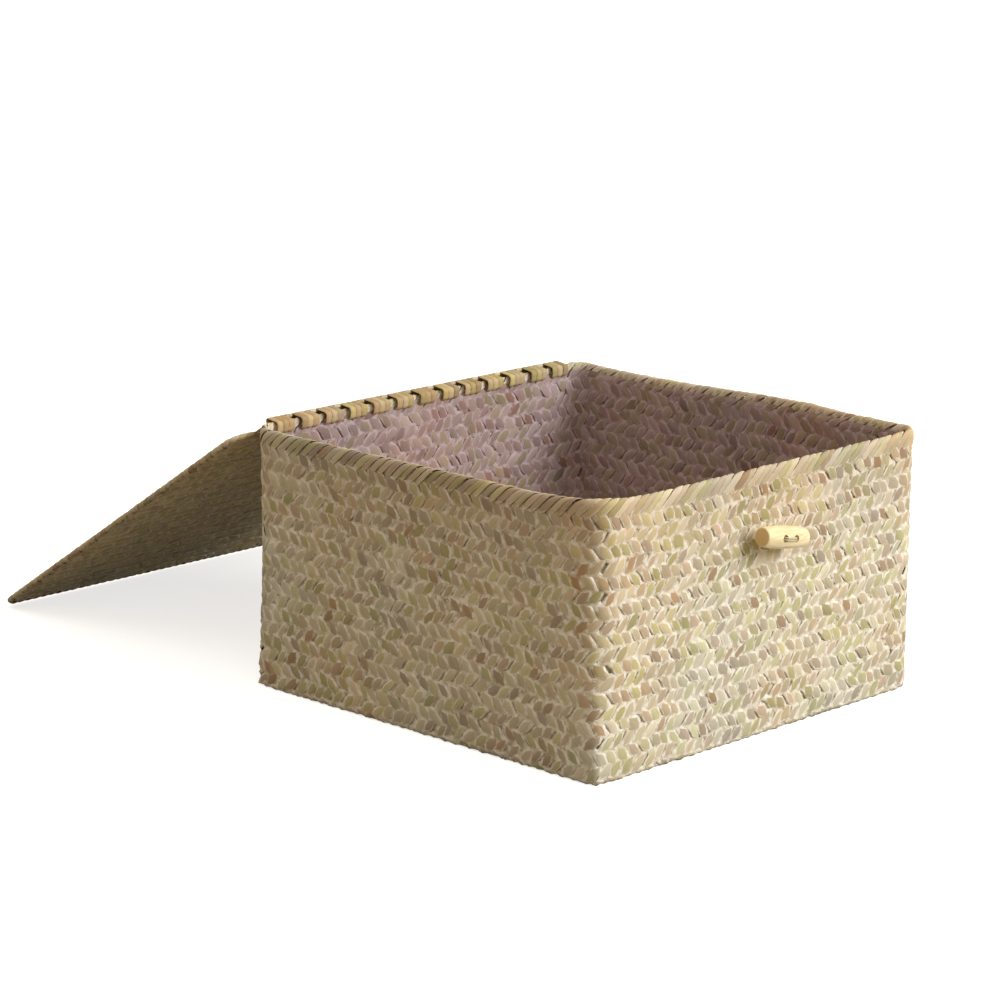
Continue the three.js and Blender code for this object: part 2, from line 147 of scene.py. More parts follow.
class BoxColours(bpy.types.PropertyGroup):
    """Colours of the box's grass, wood and cord"""

    edge: colour_property("Strand edge", (0.84, 0.80, 0.70), "Pale edge of a dried strand")
    outer_tint: colour_property("Outer tint", (1.0, 1.0, 1.0), "Tint of the outer plait")
    rim_tint: colour_property("Rim tint", (0.86, 0.79, 0.74), "Tint that browns the plait towards the rim")
    # The lining's tint is partly its own pinkish colour and partly painted shade that darkens the inside of
    # the box
    lining_tint: colour_property("Lining tint", (0.64, 0.53, 0.64), "Tint of the lining")
    fold_tint: colour_property("Fold tint", (1.0, 0.95, 0.93), "Tint of the folded rim and lid edges")
    lid_tint: colour_property("Lid tint", (0.98, 0.93, 0.80), "Tint of the lid's outer mat")
    lash_tint: colour_property("Lashing tint", (0.88, 0.74, 0.56), "Tint of the hinge lacing")
    core: colour_property("Core", (0.70, 0.61, 0.45), "Packed grass between the layers")
    wood: colour_property("Toggle wood", (0.88, 0.74, 0.42), "Pale polished wood of the toggle")
    twine: colour_property("Twine", (0.72, 0.62, 0.42), "Thread and cord")


def sizes():
    return bpy.context.scene.box_sizes


def colours():
    return bpy.context.scene.box_colours


# Points, paths and meshes

UP = np.array((0.0, 0.0, 1.0))
# A strand's section: share of the half width across, and share of the thickness up. It runs from the
# strand's left edge over its crown to the right edge and back underneath.
SECTION = np.array([
    (-1.0, -0.22), (-0.7, 0.20), (-0.3, 0.42), (0.3, 0.42),
    (0.7, 0.20), (1.0, -0.22), (0.5, -0.34), (-0.5, -0.34),
])
# The section of a round cord of radius 1
ROUND = np.array([(math.cos(turn * math.pi / 4), math.sin(turn * math.pi / 4)) for turn in range(8)])


def moved(points, matrix):
    return points @ np.array(matrix.to_3x3()).T + np.array(matrix.translation)


def unit(vectors):
    return vectors / np.linalg.norm(vectors, axis=-1, keepdims=True)


def directions(path, closed=False):
    if closed:
        return unit(np.roll(path, -1, axis=0) - np.roll(path, 1, axis=0))
    return unit(np.gradient(path, axis=0))


def path_lengths(points):
    steps = np.linalg.norm(np.diff(points, axis=0), axis=1)
    return np.concatenate([[0], np.cumsum(steps)])


def even_stops(points, gone, even):
    """Places along a path, at distances along it."""
    return np.stack([np.interp(even, gone, column) for column in points.T], axis=-1)


def swept(path, across, up, section):
    """Carries a section along a path. The section has places across and up."""
    return path[:, None] + across[:, None] * section[:, :1] + up[..., None, :] * section[:, 1:]


def ribbon_points(path, normals, width, thickness, closed=False):
    """A strand along a path of points, with the side that its crown faces at each point."""
    forward = directions(path, closed)
    across = unit(np.cross(forward, normals))
    out = normals if closed else np.cross(across, forward)
    return swept(path, across, out, SECTION * (width / 2, thickness))


def quads(here, there):
    """Faces between rings of points and the rings that follow them."""
    return np.stack([here, np.roll(here, -1, -1), np.roll(there, -1, -1), there], axis=-1).reshape(-1, 4)


def finished(piece, body):
    if not piece.users_collection:
        bpy.context.scene.collection.objects.link(piece)
    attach(piece, body)
    return piece


def grass_mesh(name, points, onward, along, tones, body):
    """Skins strands. points holds runs, stops, section points and x, y, z. onward names the run that
    carries each one on, or -1 at a strand's end."""
    runs, stops, around = points.shape[:3]
    index = np.arange(runs * stops * around).reshape(runs, stops, around)
    joined = onward >= 0
    sides = quads(index[:, :-1], index[:, 1:]), quads(index[joined, -1], index[onward[joined], 0])
    begun = np.ones(runs, bool)
    begun[onward[joined]] = False
    caps = np.concatenate([index[begun, 0][:, ::-1], index[~joined, -1]])
    mesh = bpy.data.meshes.new(name)
    mesh.from_pydata(points.reshape(-1, 3).tolist(), [], np.concatenate(sides).tolist() + caps.tolist())
    corners = np.empty(len(mesh.loops), np.int32)
    mesh.loops.foreach_get("vertex_index", corners)
    across = np.broadcast_to((SECTION[:, 0] + 1) / 2, (runs, stops, around))
    unwrapped = np.stack([across, np.broadcast_to(along[..., None], across.shape)], axis=-1).reshape(-1, 2)
    mesh.uv_layers.new(name="strand").data.foreach_set("uv", unwrapped[corners].astype(np.float32).ravel())
    shades = np.ones((runs, stops, around, 4), np.float32)
    shades[..., :3] = tones[:, :, None, :]
    mesh.attributes.new("grass", "FLOAT_COLOR", "POINT").data.foreach_set("color", shades.ravel())
    mesh.shade_smooth()
    return finished(bpy.data.objects.new(name, mesh), body)


def palette_draw(chance, count):
    """Places on the grass palette: mostly tan and cream, with some green, pink, grey and russet."""
    return 0.95 * chance.beta(0.9, 1.3, count)


def shade_draw(chance, count, spread):
    return np.clip(0.5 + spread * chance.standard_normal(count), 0, 1)


def strand_tones(chance, runs, stops):
    """A strand's tones: its place on the palette, its shade, and how far it shows."""
    tones = np.ones((runs, stops, 3))
    tones[..., 0] = palette_draw(chance, runs)[:, None]
    tones[..., 1] = shade_draw(chance, runs, 0.2)[:, None]
    return tones


def loose_strands(name, runs, chance, body, along=None, closed=False):
    """Strands one by one, each from end to end or closed on itself."""
    runs = np.array(runs)
    count, stops = runs.shape[:2]
    if along is None:
        along = [path_lengths(run[:, 3]) for run in runs]
    onward = np.arange(count) if closed else np.full(count, -1)
    return grass_mesh(name, runs, onward, np.array(along), strand_tones(chance, count, stops), body)


# The plait

# Stops along one float, in crossings from its middle: it lies over the two nearest crossings, from -1
# to 1, and under the next ones on either side.
STOPS = np.array([-2.0, -1.5, -1.15, -0.85, -0.4, 0.4, 0.85, 1.15, 1.5])
# A float is a lens: widest in its middle, drawn in where it dives under its neighbours.
WAIST = np.array([0.9, 0.86, 0.8, 0.86, 1.0, 1.0, 0.86, 0.8, 0.86])
DIVE = 1.15
# Where the middle of a band's floats lies, as a share of the band
BAND_MIDDLE = 0.25
# How much floats differ in height, width, roll, slope and shade
HEIGHT_STRAY, WIDTH_STRAY, ROLL_STRAY, SLOPE_STRAY, SHADE_STRAY = 0.16 * MM, 0.1, 0.06, 0.14, 0.22
# Strands share this many draws of width and colour, and some floats have a colour of their own
STRAND_DRAWS = 997
OWN_COLOUR = 0.55
# Waves of hand-laid bands along their way, and up and down: the swing, the waves round the box and the
# height that turns a wave by one radian
DRIFTS = ((0.7 * MM, 11, 19 * MM), (0.45 * MM, 29, -13 * MM))
SWINGS = ((0.6 * MM, 9, 47 * MM), (0.35 * MM, 23, 23 * MM))


def float_grid(bands, columns):
    """Every float of a two-over, two-under plait whose bands lie level: its band, column, slant and
    place along. Bands of rising floats take turns with bands of falling ones."""
    band, column = (grid.ravel() for grid in np.meshgrid(bands, columns, indexing="ij"))
    slant = np.where(band % 2 == 0, 1, -1)
    return band, column, slant, column + np.where(slant > 0, 0.25, 0.75)


def follow_on(band, column, slant, ring=None):
    """The float that carries each one's strand on, two bands up and two columns along, or -1."""
    wrap = (lambda value: value % ring) if ring else (lambda value: value)
    seat = {(b, wrap(c)): i for i, (b, c) in enumerate(zip(band.tolist(), column.tolist()))}
    nexts = zip((band + 2).tolist(), (column + 2 * slant).tolist())
    return np.array([seat.get((b, wrap(c)), -1) for b, c in nexts], int)


def trimmed_stops(onward):
    """Each float's stops. The first and the last float of a strand end just under their neighbours."""
    stops = np.repeat(STOPS[None], len(onward), axis=0)
    first = np.ones(len(onward), bool)
    first[onward[onward >= 0]] = False
    stops[first] = np.where(stops[first] < -DIVE, -DIVE + 0.1 * (stops[first] + DIVE), stops[first])
    last = onward < 0
    stops[last] = np.where(stops[last] > DIVE, DIVE + 0.2 * (stops[last] - DIVE), stops[last])
    return stops


def plait(name, face, floats, pitch, rise, layer, seed, body, ring=None):
    """Lays floats on a face, a function of the distance along, the distance up and the height out. A
    float's crown lies on the face."""
    chance, strands = np.random.default_rng(seed), np.random.default_rng(seed + 1)
    settings = sizes()
    scale = layer / settings.layer
    band, column, slant, place = floats
    count = len(band)
    onward = follow_on(band, column, slant, ring)
    stops = trimmed_stops(onward)
    wave = np.cos(stops * math.pi / 2)
    shown, fade = np.clip(wave, 0, 1), np.clip(1 + wave, 0, 1)
    strand = np.where(slant > 0, column - band, column + band) % STRAND_DRAWS
    steep = settings.steepness - settings.skew * slant[:, None]

    def stray(amount):
        return amount * chance.standard_normal(count)[:, None]

    height = scale * settings.lift * wave + stray(HEIGHT_STRAY * scale) * shown
    half = settings.strand_fill * pitch * np.sin(steep) / 2
    draw = strands.random(STRAND_DRAWS)[strand]
    width = half * (0.95 + 0.1 * draw + stray(WIDTH_STRAY)[:, 0])[:, None] * WAIST
    sideways, up = SECTION.T
    lean = sideways * width[..., None] + (stray(settings.looseness) * fade)[..., None]
    thickness = scale * settings.strand_thickness
    crown = scale * settings.lift + up.max() * thickness
    out = height[..., None] + up * thickness + (stray(ROLL_STRAY) * shown)[..., None] * lean
    # Where it shows, a float stands steeper than its strand runs on the whole
    crimp = (1 - rise / np.tan(steep)) / math.pi
    aside = (stops - crimp * np.sin(math.pi * stops)) * pitch / 2
    ahead = stops * pitch / 2 + stray(0.8 * settings.looseness) * fade
    aside = aside + stray(SLOPE_STRAY) * shown * ahead
    way = slant[:, None, None]
    s = place[:, None, None] * pitch + way * aside[..., None] + lean * np.sin(steep)[..., None]
    v = (BAND_MIDDLE + band[:, None, None]) * pitch + ahead[..., None]
    v = (v - way * lean * np.cos(steep)[..., None]) * rise
    turn = 2 * math.pi * s / (pitch * settings.strands)
    drift, swing = (
        sum(size * np.sin(waves * turn + v / high) for size, waves, high in waving)
        for waving in (DRIFTS, SWINGS)
    )
    points = face(s + drift, v + swing, out - crown)
    along = (band[:, None] + stops / 2) * pitch + 0.37 * strand[:, None]
    own = chance.random(count) < OWN_COLOUR
    own_colour, shared = palette_draw(chance, count), palette_draw(strands, STRAND_DRAWS)[strand]
    tones = np.empty((count, len(STOPS), 3))
    tones[..., 0] = np.where(own, own_colour, shared)[:, None]
    tones[..., 1] = shade_draw(chance, count, SHADE_STRAY)[:, None]
    # How far the float shows: the strand material draws the pale lens edge from it and darkens the float by
    # it where it dives, as painted shade
    tones[..., 2] = 0.5 + 0.5 * wave
    return grass_mesh(name, points, onward, along, tones, body)


# Box faces

# How far each upright corner is drawn out to a point at its foot, and how far its rim stands up. The
# corners are front right, back right, back left and front left.
FOOT_POINTS = np.array((0.0, 4.0, 6.0, 8.0)) * MM
RIM_RISES = np.array((0.5, 1.0, 0.5, 2.2)) * MM
RISE_REACH = 18 * MM
# The right rim also bows up, at a distance past its front corner
BOW_RISE, BOW_PLACE, BOW_REACH = 1.9 * MM, 74 * MM, 44 * MM
# The lowest strands stay this far above the table
ABOVE_TABLE = 0.06 * MM
# Share of its radius that a rounded corner saves, at each end of a side
CORNER_SAVING = 0.2146
# The band whose upper edge is the rim's lower edge. It falls, so that the rising strands come out above
# it into the rim.
TOP_BAND = 17
# At its top, the lining leans back and shortens over this height, to tuck under the rim's lip
TUCK_REACH, TUCK_LEAN, TUCK_SHORTENS = 5 * MM, 0.375, 0.47
# Near the lacing, the lid sinks a little towards its outer face
LID_SINK, LID_SINK_REACH = 2.2 * MM, 22 * MM


def outline(half_x, half_y, radius):
    """A rounded rectangle from the middle of its -Y side, anticlockwise: a function of distance along
    that gives the corner centre line and the way out."""
    core_x, core_y, arc = half_x - radius, half_y - radius, radius * math.pi / 2
    straights = [(core_x, -core_y, 0, 1, 2 * core_y), (core_x, core_y, -1, 0, 2 * core_x),
                 (-core_x, core_y, 0, -1, 2 * core_y), (-core_x, -core_y, 1, 0, core_x)]
    rows = [(0, -core_y, 1, 0, -math.pi / 2, 0, core_x)]
    for turn, (x, y, way_x, way_y, length) in enumerate(straights):
        angle = (turn - 1) * math.pi / 2
        rows.append((x, y, 0, 0, angle, 1 / radius, arc))
        rows.append((x, y, way_x, way_y, angle + math.pi / 2, 0, length))
    table = np.array(rows)
    stops = np.concatenate([[0], np.cumsum(table[:, 6])])

    def around(s):
        s = np.mod(s, stops[-1])
        row = np.clip(np.searchsorted(stops, s, side="right") - 1, 0, len(rows) - 1)
        part, gone = table[row], s - stops[row]
        angle = part[..., 4] + part[..., 5] * gone
        core = part[..., :2] + part[..., 2:4] * gone[..., None]
        return core, np.stack([np.cos(angle), np.sin(angle)], axis=-1)

    return around, stops[-1]


def box_outline():
    return outline(WIDTH / 2, DEPTH / 2, sizes().corner)


def corner_middles(length):
    """Distances along the outline to the middles of the four upright corners."""
    half_front = WIDTH / 2 - CORNER_SAVING * sizes().corner
    side = DEPTH - 2 * CORNER_SAVING * sizes().corner
    return np.array([half_front, half_front + side, length - half_front - side, length - half_front])


def corner_gaps(s, length):
    """Distances along the outline from the middles of the four upright corners."""
    gaps = np.abs(np.mod(s, length)[..., None] - corner_middles(length))
    return np.minimum(gaps, length - gaps)


def upright(core, way, s, length, depth, z):
    """Points at a depth inside the box's outline and a height, with its pointed feet and raised rim."""
    radius = sizes().corner
    gaps = corner_gaps(s, length)
    turned = np.clip(1 - gaps / (radius * math.pi / 4), 0, 1) * math.pi / 4
    low = np.clip(1 - z / sizes().foot_reach, 0, 1)
    point = ((1 / np.cos(turned) - 1) * FOOT_POINTS).sum(axis=-1) * low
    rise = (np.exp(-((gaps / RISE_REACH) ** 2)) * RIM_RISES).sum(axis=-1)
    past = np.mod(s, length) - WIDTH / 2 - BOW_PLACE
    rise = rise + BOW_RISE * np.exp(-((past / BOW_REACH) ** 2))
    flat = core + way * (radius - depth + point)[..., None]
    lifted = z + rise * np.clip(z / HEIGHT, 0, 1) ** 4
    return np.concatenate([flat, np.maximum(lifted, ABOVE_TABLE)[..., None]], axis=-1)


def wall_face(side, floor, start, foot, tuck):
    """The walls' face outwards (side -1) or inwards (side 1), at a depth inside the outline. At its foot
    it turns onto a floor. tuck is 1 where it tucks under the rim's lip, or else 0."""
    around, length = box_outline()

    def face(s, v, out):
        core, way = around(-side * s)
        above = floor + foot
        bend = np.clip((above - v) / foot, 0, math.pi / 2)
        under = np.maximum(0, above - v - foot * math.pi / 2)
        depth = start + foot * (1 - np.cos(bend)) + under + side * out * np.cos(bend)
        z = np.where(v > above, v, floor + foot * (1 - np.sin(bend))) + side * out * np.sin(bend)
        tucked = tuck * np.maximum(z - HEIGHT + TUCK_REACH, 0)
        return upright(core, way, -side * s, length, depth - TUCK_LEAN * tucked, z - TUCK_SHORTENS * tucked)

    return face


def flat_face(place, side):
    """A level face at a height, looking up (side 1) or down (side -1)."""

    def face(s, v, out):
        return np.stack([side * s, v, np.maximum(place + side * out, ABOVE_TABLE)], axis=-1)

    return face


def lid_bend(reach):
    return -LID_SINK * np.clip(1 - reach / LID_SINK_REACH, 0, 1) ** 2


def lid_reach():
    """How far the lid's free edge is from the hinge line."""
    return HINGE.y + DEPTH / 2 + sizes().lid_overhang


def lid_face(side):
    """The lid's inner face (side 1) or outer face (side -1)."""

    def face(s, v, out):
        level = side * (sizes().lid_thickness / 2 + out) - sizes().lid_lift + lid_bend(v)
        return moved(np.stack([side * s, v, level], axis=-1), LID_FRAME)

    return face


def band_drop():
    """The height that puts the top band's upper edge at the rim's lower edge."""
    return RIM_BOTTOM - (TOP_BAND + 0.75) * sizes().band


def plait_walls(kind, face, order, lowest, above, seed):
    """Plaits four walls from a lowest height to the rim's lower edge, and some bands above it."""
    settings = sizes()
    length = box_outline()[1]
    pitch = length / settings.strands
    drop = band_drop()
    bands = np.arange(math.floor((lowest - drop) / settings.band), TOP_BAND + above + 1)
    floats = float_grid(bands, np.arange(settings.strands))
    wall = np.searchsorted(corner_middles(length), np.mod(floats[-1] * pitch, length)) % 4
    for number, name in enumerate(order):
        piece = plait(
            f"{kind}_{name}_plait", lambda s, v, out: face(s, v + drop, out),
            [each[wall == number] for each in floats], pitch, settings.band / pitch, settings.layer,
            seed + 10 * number, "basket", ring=settings.strands,
        )
        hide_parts(f"{kind}_{name}_wall")


def drawn_in(s, v, half_x, low, high, radius):
    """Draws places outside a rounded rectangle back to its edge."""
    core_s = np.clip(s, radius - half_x, half_x - radius)
    core_v = np.clip(v, low + radius, high - radius)
    past = np.hypot(s - core_s, v - core_v)
    share = radius / np.maximum(past, radius)
    return core_s + (s - core_s) * share, core_v + (v - core_v) * share


def plait_mat(name, face, half_x, low, high, radius, inset, layer, seed, body):
    """A flat plait that ends inside a rounded rectangle: half_x either way across, from low to high. The
    middles of its floats lie inside an inset from that."""
    edge = half_x, low, high, radius
    half_x, low, high, radius = half_x - inset, low + inset, high - inset, radius - inset
    pitch = box_outline()[1] / sizes().strands
    bands = np.arange(math.ceil(low / pitch - BAND_MIDDLE), math.floor(high / pitch - BAND_MIDDLE) + 1)
    reach = math.floor(half_x / pitch) + 1
    floats = float_grid(bands, np.arange(-reach, reach))
    past_x = np.maximum(np.abs(floats[-1] * pitch) - half_x + radius, 0)
    from_middle = np.abs((BAND_MIDDLE + floats[0]) * pitch - (low + high) / 2)
    past_y = np.maximum(from_middle - (high - low) / 2 + radius, 0)
    own = np.hypot(past_x, past_y) < radius
    return plait(
        name, lambda s, v, out: face(*drawn_in(s, v, *edge), out), [each[own] for each in floats],
        pitch, 1.0, layer, seed, body,
    )


# Folded edges


def fold_profile(near, far, outer, half, start, tuck):
    """The way a strand takes round an edge: from near out along one face, round the edge at outer and back
    along the other face to far. half is half the thickness between the faces. At both ends it sinks by
    tuck, over a distance of start. Gives, for a share of the way from 0 to 1, the distance out and the
    height, the direction that faces out and the sinking."""
    arc = math.pi * half
    straight = outer - half - near
    total = straight + arc + outer - half - far

    def profile(share):
        gone = share * total
        angle = np.clip((gone - straight) / half, 0, math.pi)
        back = np.maximum(0, gone - straight - arc)
        out = near + np.minimum(gone, straight) - back + half * np.sin(angle)
        sink = tuck * (np.exp(-((gone / start) ** 2)) + np.exp(-(((total - gone) / start) ** 2)))
        facing = np.stack([np.sin(angle), -np.cos(angle)], axis=-1)
        return np.stack([out, -half * np.cos(angle)], axis=-1), facing, sink

    return profile, total


def fold_row(name, place_points, length, count, fold, slope, first, loose, seed, body):
    """A row of strands that fold over an edge side by side. place_points turns distances along the
    edge, distances out, heights and their facing into points. loose is how far they stand up, from 0 to 1."""
    chance = np.random.default_rng(seed)
    profile, total = fold
    pitch = length / count
    share = np.linspace(0, 1, 17)
    sink = profile(share)[2]
    run = share * total
    sideways, up = SECTION.T
    half = 0.55 * pitch * math.sin(slope)
    width = half * (0.95 + 0.12 * chance.random(count))
    roll = loose * (0.2 + 0.06 * chance.standard_normal(count))
    lean = sideways * np.repeat(width[:, None, None], len(share), axis=1)
    out = up * (0.2 + 0.6 * loose) * sizes().strand_thickness + roll[:, None, None] * lean
    out = out - sink[None, :, None] + loose * 0.12 * MM * chance.standard_normal(count)[:, None, None]
    start = first + pitch * np.arange(count) + loose * 0.35 * MM * chance.standard_normal(count)
    veer = 1 / math.tan(slope) + loose * 0.07 * chance.standard_normal(count)
    s = start[:, None, None] + run[None, :, None] * veer[:, None, None] + lean * math.sin(slope)
    # The strand's width also reaches up and down its way, so the profile is read a little to each side.
    shifted = share[None, :, None] - lean * math.cos(slope) / total
    where, facing, _ = profile(np.clip(shifted, 0, 1))
    points = place_points(s, where, facing, out)
    along = run[None, :] / math.sin(slope) + 0.41 * np.arange(count)[:, None]
    tones = strand_tones(chance, count, len(share))
    # A strand shows less where it sinks at its ends: the strand material darkens it there as painted shade
    tones[..., 2] = 1 - np.clip(sink / (1.2 * MM), 0, 1)
    return grass_mesh(name, points, np.full(count, -1), along, tones, body)


# Materials

# Places and colours of dried grass, from tan and cream through green to grey and russet
PALETTE = (
    (0.00, (0.56, 0.48, 0.34)),
    (0.22, (0.64, 0.58, 0.44)),
    (0.42, (0.58, 0.54, 0.31)),
    (0.58, (0.46, 0.43, 0.23)),
    (0.70, (0.57, 0.45, 0.32)),
    (0.82, (0.46, 0.40, 0.31)),
    (0.95, (0.43, 0.29, 0.16)),
)
COOL, WARM = (0.96, 1.01, 1.08, 1), (1.05, 0.98, 0.90, 1)
STRAND_INPUTS = (("Tint", "Color"), ("Edge colour", "Color"), ("Edge amount", "Float"), ("Top tint", "Color"))
STRAND_OUTPUTS = (("Colour", "Color"), ("Roughness", "Float"), ("Height", "Float"))


class Graph:
    """A node tree that is laid out call by call"""

    def __init__(self, tree):
        self.nodes, self.links = tree.nodes, tree.links

    def feed(self, made, inputs):
        """Links a node's inputs to sockets, or sets them to values."""
        for key, value in inputs.items():
            if isinstance(value, bpy.types.NodeSocket):
                self.links.new(value, made.inputs[key])
            else:
                made.inputs[key].default_value = value

    def add(self, kind, inputs=None, **settings):
        """Adds a node and gives its outputs."""
        made = self.nodes.new(f"ShaderNode{kind}")
        for key, value in settings.items():
            setattr(made, key, value)
        self.feed(made, inputs or {})
        return made.outputs

    def noise(self, vector, scale, **others):
        return self.add("TexNoise", {"Vector": vector, "Scale": scale, **others})[0]

    def stretched(self, vector, **changes):
        return self.add("Mapping", {"Vector": vector, **changes})[0]

    def ranged(self, source, low, high, to_low, to_high):
        ends = {"From Min": low, "From Max": high, "To Min": to_low, "To Max": to_high}
        return self.add("MapRange", {"Value": source, **ends})[0]

    def maths(self, operation, *values):
        return self.add("Math", dict(enumerate(values)), operation=operation)[0]

    def mix(self, factor, first, second, **settings):
        return self.add("Mix", {"Factor": factor, 6: first, 7: second}, data_type="RGBA", **settings)[2]

    def times(self, colour, factor):
        return self.mix(1, colour, factor, blend_type="MULTIPLY")

    def bump(self, height, strength, distance):
        return self.add("Bump", {"Height": height, "Strength": strength, "Distance": distance})[0]

    def ramp(self, source, stops):
        """A colour ramp, from stops of a place and a colour."""
        made = self.nodes.new("ShaderNodeValToRGB")
        elements = made.color_ramp.elements
        for number, (position, colour) in enumerate(stops):
            stop = elements[number] if number < 2 else elements.new(position)
            stop.position = position
            stop.color = (*colour, 1)
        self.feed(made, {0: source})
        return made.outputs[0]

    def shades(self, source, colour, *stops):
        """A ramp that darkens and brightens a colour, from stops of a place and a factor."""
        return self.ramp(source, [(position, Vector(colour) * factor) for position, factor in stops])

    def background_ray(self):
        """1 for rays that show the background: from the camera, mirrored or let through."""
        rays = self.add("LightPath")
        either = rays["Is Camera Ray"]
        for kind in ("Is Glossy Ray", "Is Transmission Ray"):
            either = self.maths("MAXIMUM", either, rays[kind])
        return either


def new_material(name):
    """A material, its graph and its main shader."""
    material = bpy.data.materials.new(name)
    material.use_nodes = True
    return material, Graph(material.node_tree), material.node_tree.nodes["Principled BSDF"]


def grass_group():
    """Colour, roughness and height of a dried strand, from its own tone and its place across and along."""
    group = bpy.data.node_groups.new("Dried strand", "ShaderNodeTree")
    for way, sockets in (("INPUT", STRAND_INPUTS), ("OUTPUT", STRAND_OUTPUTS)):
        for label, kind in sockets:
            group.interface.new_socket(label, in_out=way, socket_type=f"NodeSocket{kind}")
    graph = Graph(group)
    ranged, maths, times = graph.ranged, graph.maths, graph.times
    given, put = group.nodes.new("NodeGroupInput").outputs, group.nodes.new("NodeGroupOutput")
    tones = graph.add("Attribute", attribute_name="grass")["Color"]
    tone, own_shade, shown = graph.add("SeparateColor", {0: tones})
    place = graph.add("UVMap", uv_map="strand")["UV"]
    across = graph.add("SeparateXYZ", {0: place})[0]
    where = graph.add("TexCoord")["Object"]
    height = graph.add("SeparateXYZ", {0: where})[2]
    # Fibres are noise drawn out along the strand
    fibre = graph.noise(graph.stretched(place, Scale=(7, 60, 1)), 1.6, Detail=4, Roughness=0.65)
    shade = ranged(own_shade, 0, 1, 0.80, 1.16)
    for source, *ends in (
        (fibre, 0.3, 0.7, 0.86, 1.1),
        (graph.noise(where, 70, Detail=3), 0.3, 0.7, 0.9, 1.08),
        # Painted shade: a strand is darkened, down to 0.9, where it dives under its neighbours
        (shown, 0.05, 0.5, 0.9, 1.0),
    ):
        shade = maths("MULTIPLY", shade, ranged(source, *ends))
    # The grass is browner towards the rim
    browned = ranged(height, 0.6 * HEIGHT, HEIGHT, 0, 1)
    tint = graph.mix(browned, given["Tint"], times(given["Tint"], given["Top tint"]))
    # Wide patches of cooler and warmer grass
    drift = graph.mix(ranged(graph.noise(where, 16), 0.36, 0.64, 0, 1), COOL, WARM)
    body = times(times(times(graph.ramp(tone, PALETTE), shade), tint), drift)
    # The pale edge follows the lens that a float shows: it closes in towards the float's two ends.
    off_middle = maths("ABSOLUTE", maths("SUBTRACT", across, 0.5))
    towards_end = maths("MULTIPLY", maths("SUBTRACT", 1, shown), 0.85)
    lens = maths("ADD", maths("ADD", off_middle, towards_end), ranged(own_shade, 0, 1, -0.05, 0.05))
    edge = maths("MULTIPLY", ranged(lens, 0.34, 0.41, 0, 1), given["Edge amount"])
    edge = maths("MULTIPLY", edge, ranged(graph.noise(where, 330), 0.38, 0.6, 0.2, 1.2))
    colour = graph.mix(edge, body, times(given["Edge colour"], tint))
    roughness = ranged(fibre, 0.3, 0.7, 0.62, 0.82)
    graph.feed(put, {"Colour": colour, "Roughness": roughness, "Height": fibre})
    return group


def grass_material(name, tint, edge_amount, top_tint=(1, 1, 1)):
    material, graph, shader = new_material(name)
    group = bpy.data.node_groups.get("Dried strand") or grass_group()
    tints = {"Tint": tint, "Edge colour": colours().edge, "Top tint": top_tint}
    given = {label: (*colour, 1) for label, colour in tints.items()}
    strand = graph.add("Group", {**given, "Edge amount": edge_amount}, node_tree=group)
    graph.feed(shader, {
        "Base Color": strand["Colour"], "Roughness": strand["Roughness"], "Specular IOR Level": 0.12,
        "Normal": graph.bump(strand["Height"], 0.35, 0.25 * MM),
    })
    return material


def twine_material(name):
    material, graph, shader = new_material(name)
    place = graph.add("UVMap", uv_map="strand")["UV"]
    fibre = graph.noise(graph.stretched(place, Scale=(3, 900, 1)), 2, Detail=4)
    graph.feed(shader, {
        "Base Color": graph.shades(fibre, colours().twine, (0.3, 0.62), (0.7, 1.12)), "Roughness": 0.8,
        "Normal": graph.bump(fibre, 0.5, 0.15 * MM),
    })
    return material


def dress(material, *names):
    for name in names:
        piece = bpy.data.objects[name]
        piece.data.materials.clear()
        piece.data.materials.append(material)


# Operators


def deselect():
    for thing in bpy.context.selected_objects:
        thing.select_set(False)


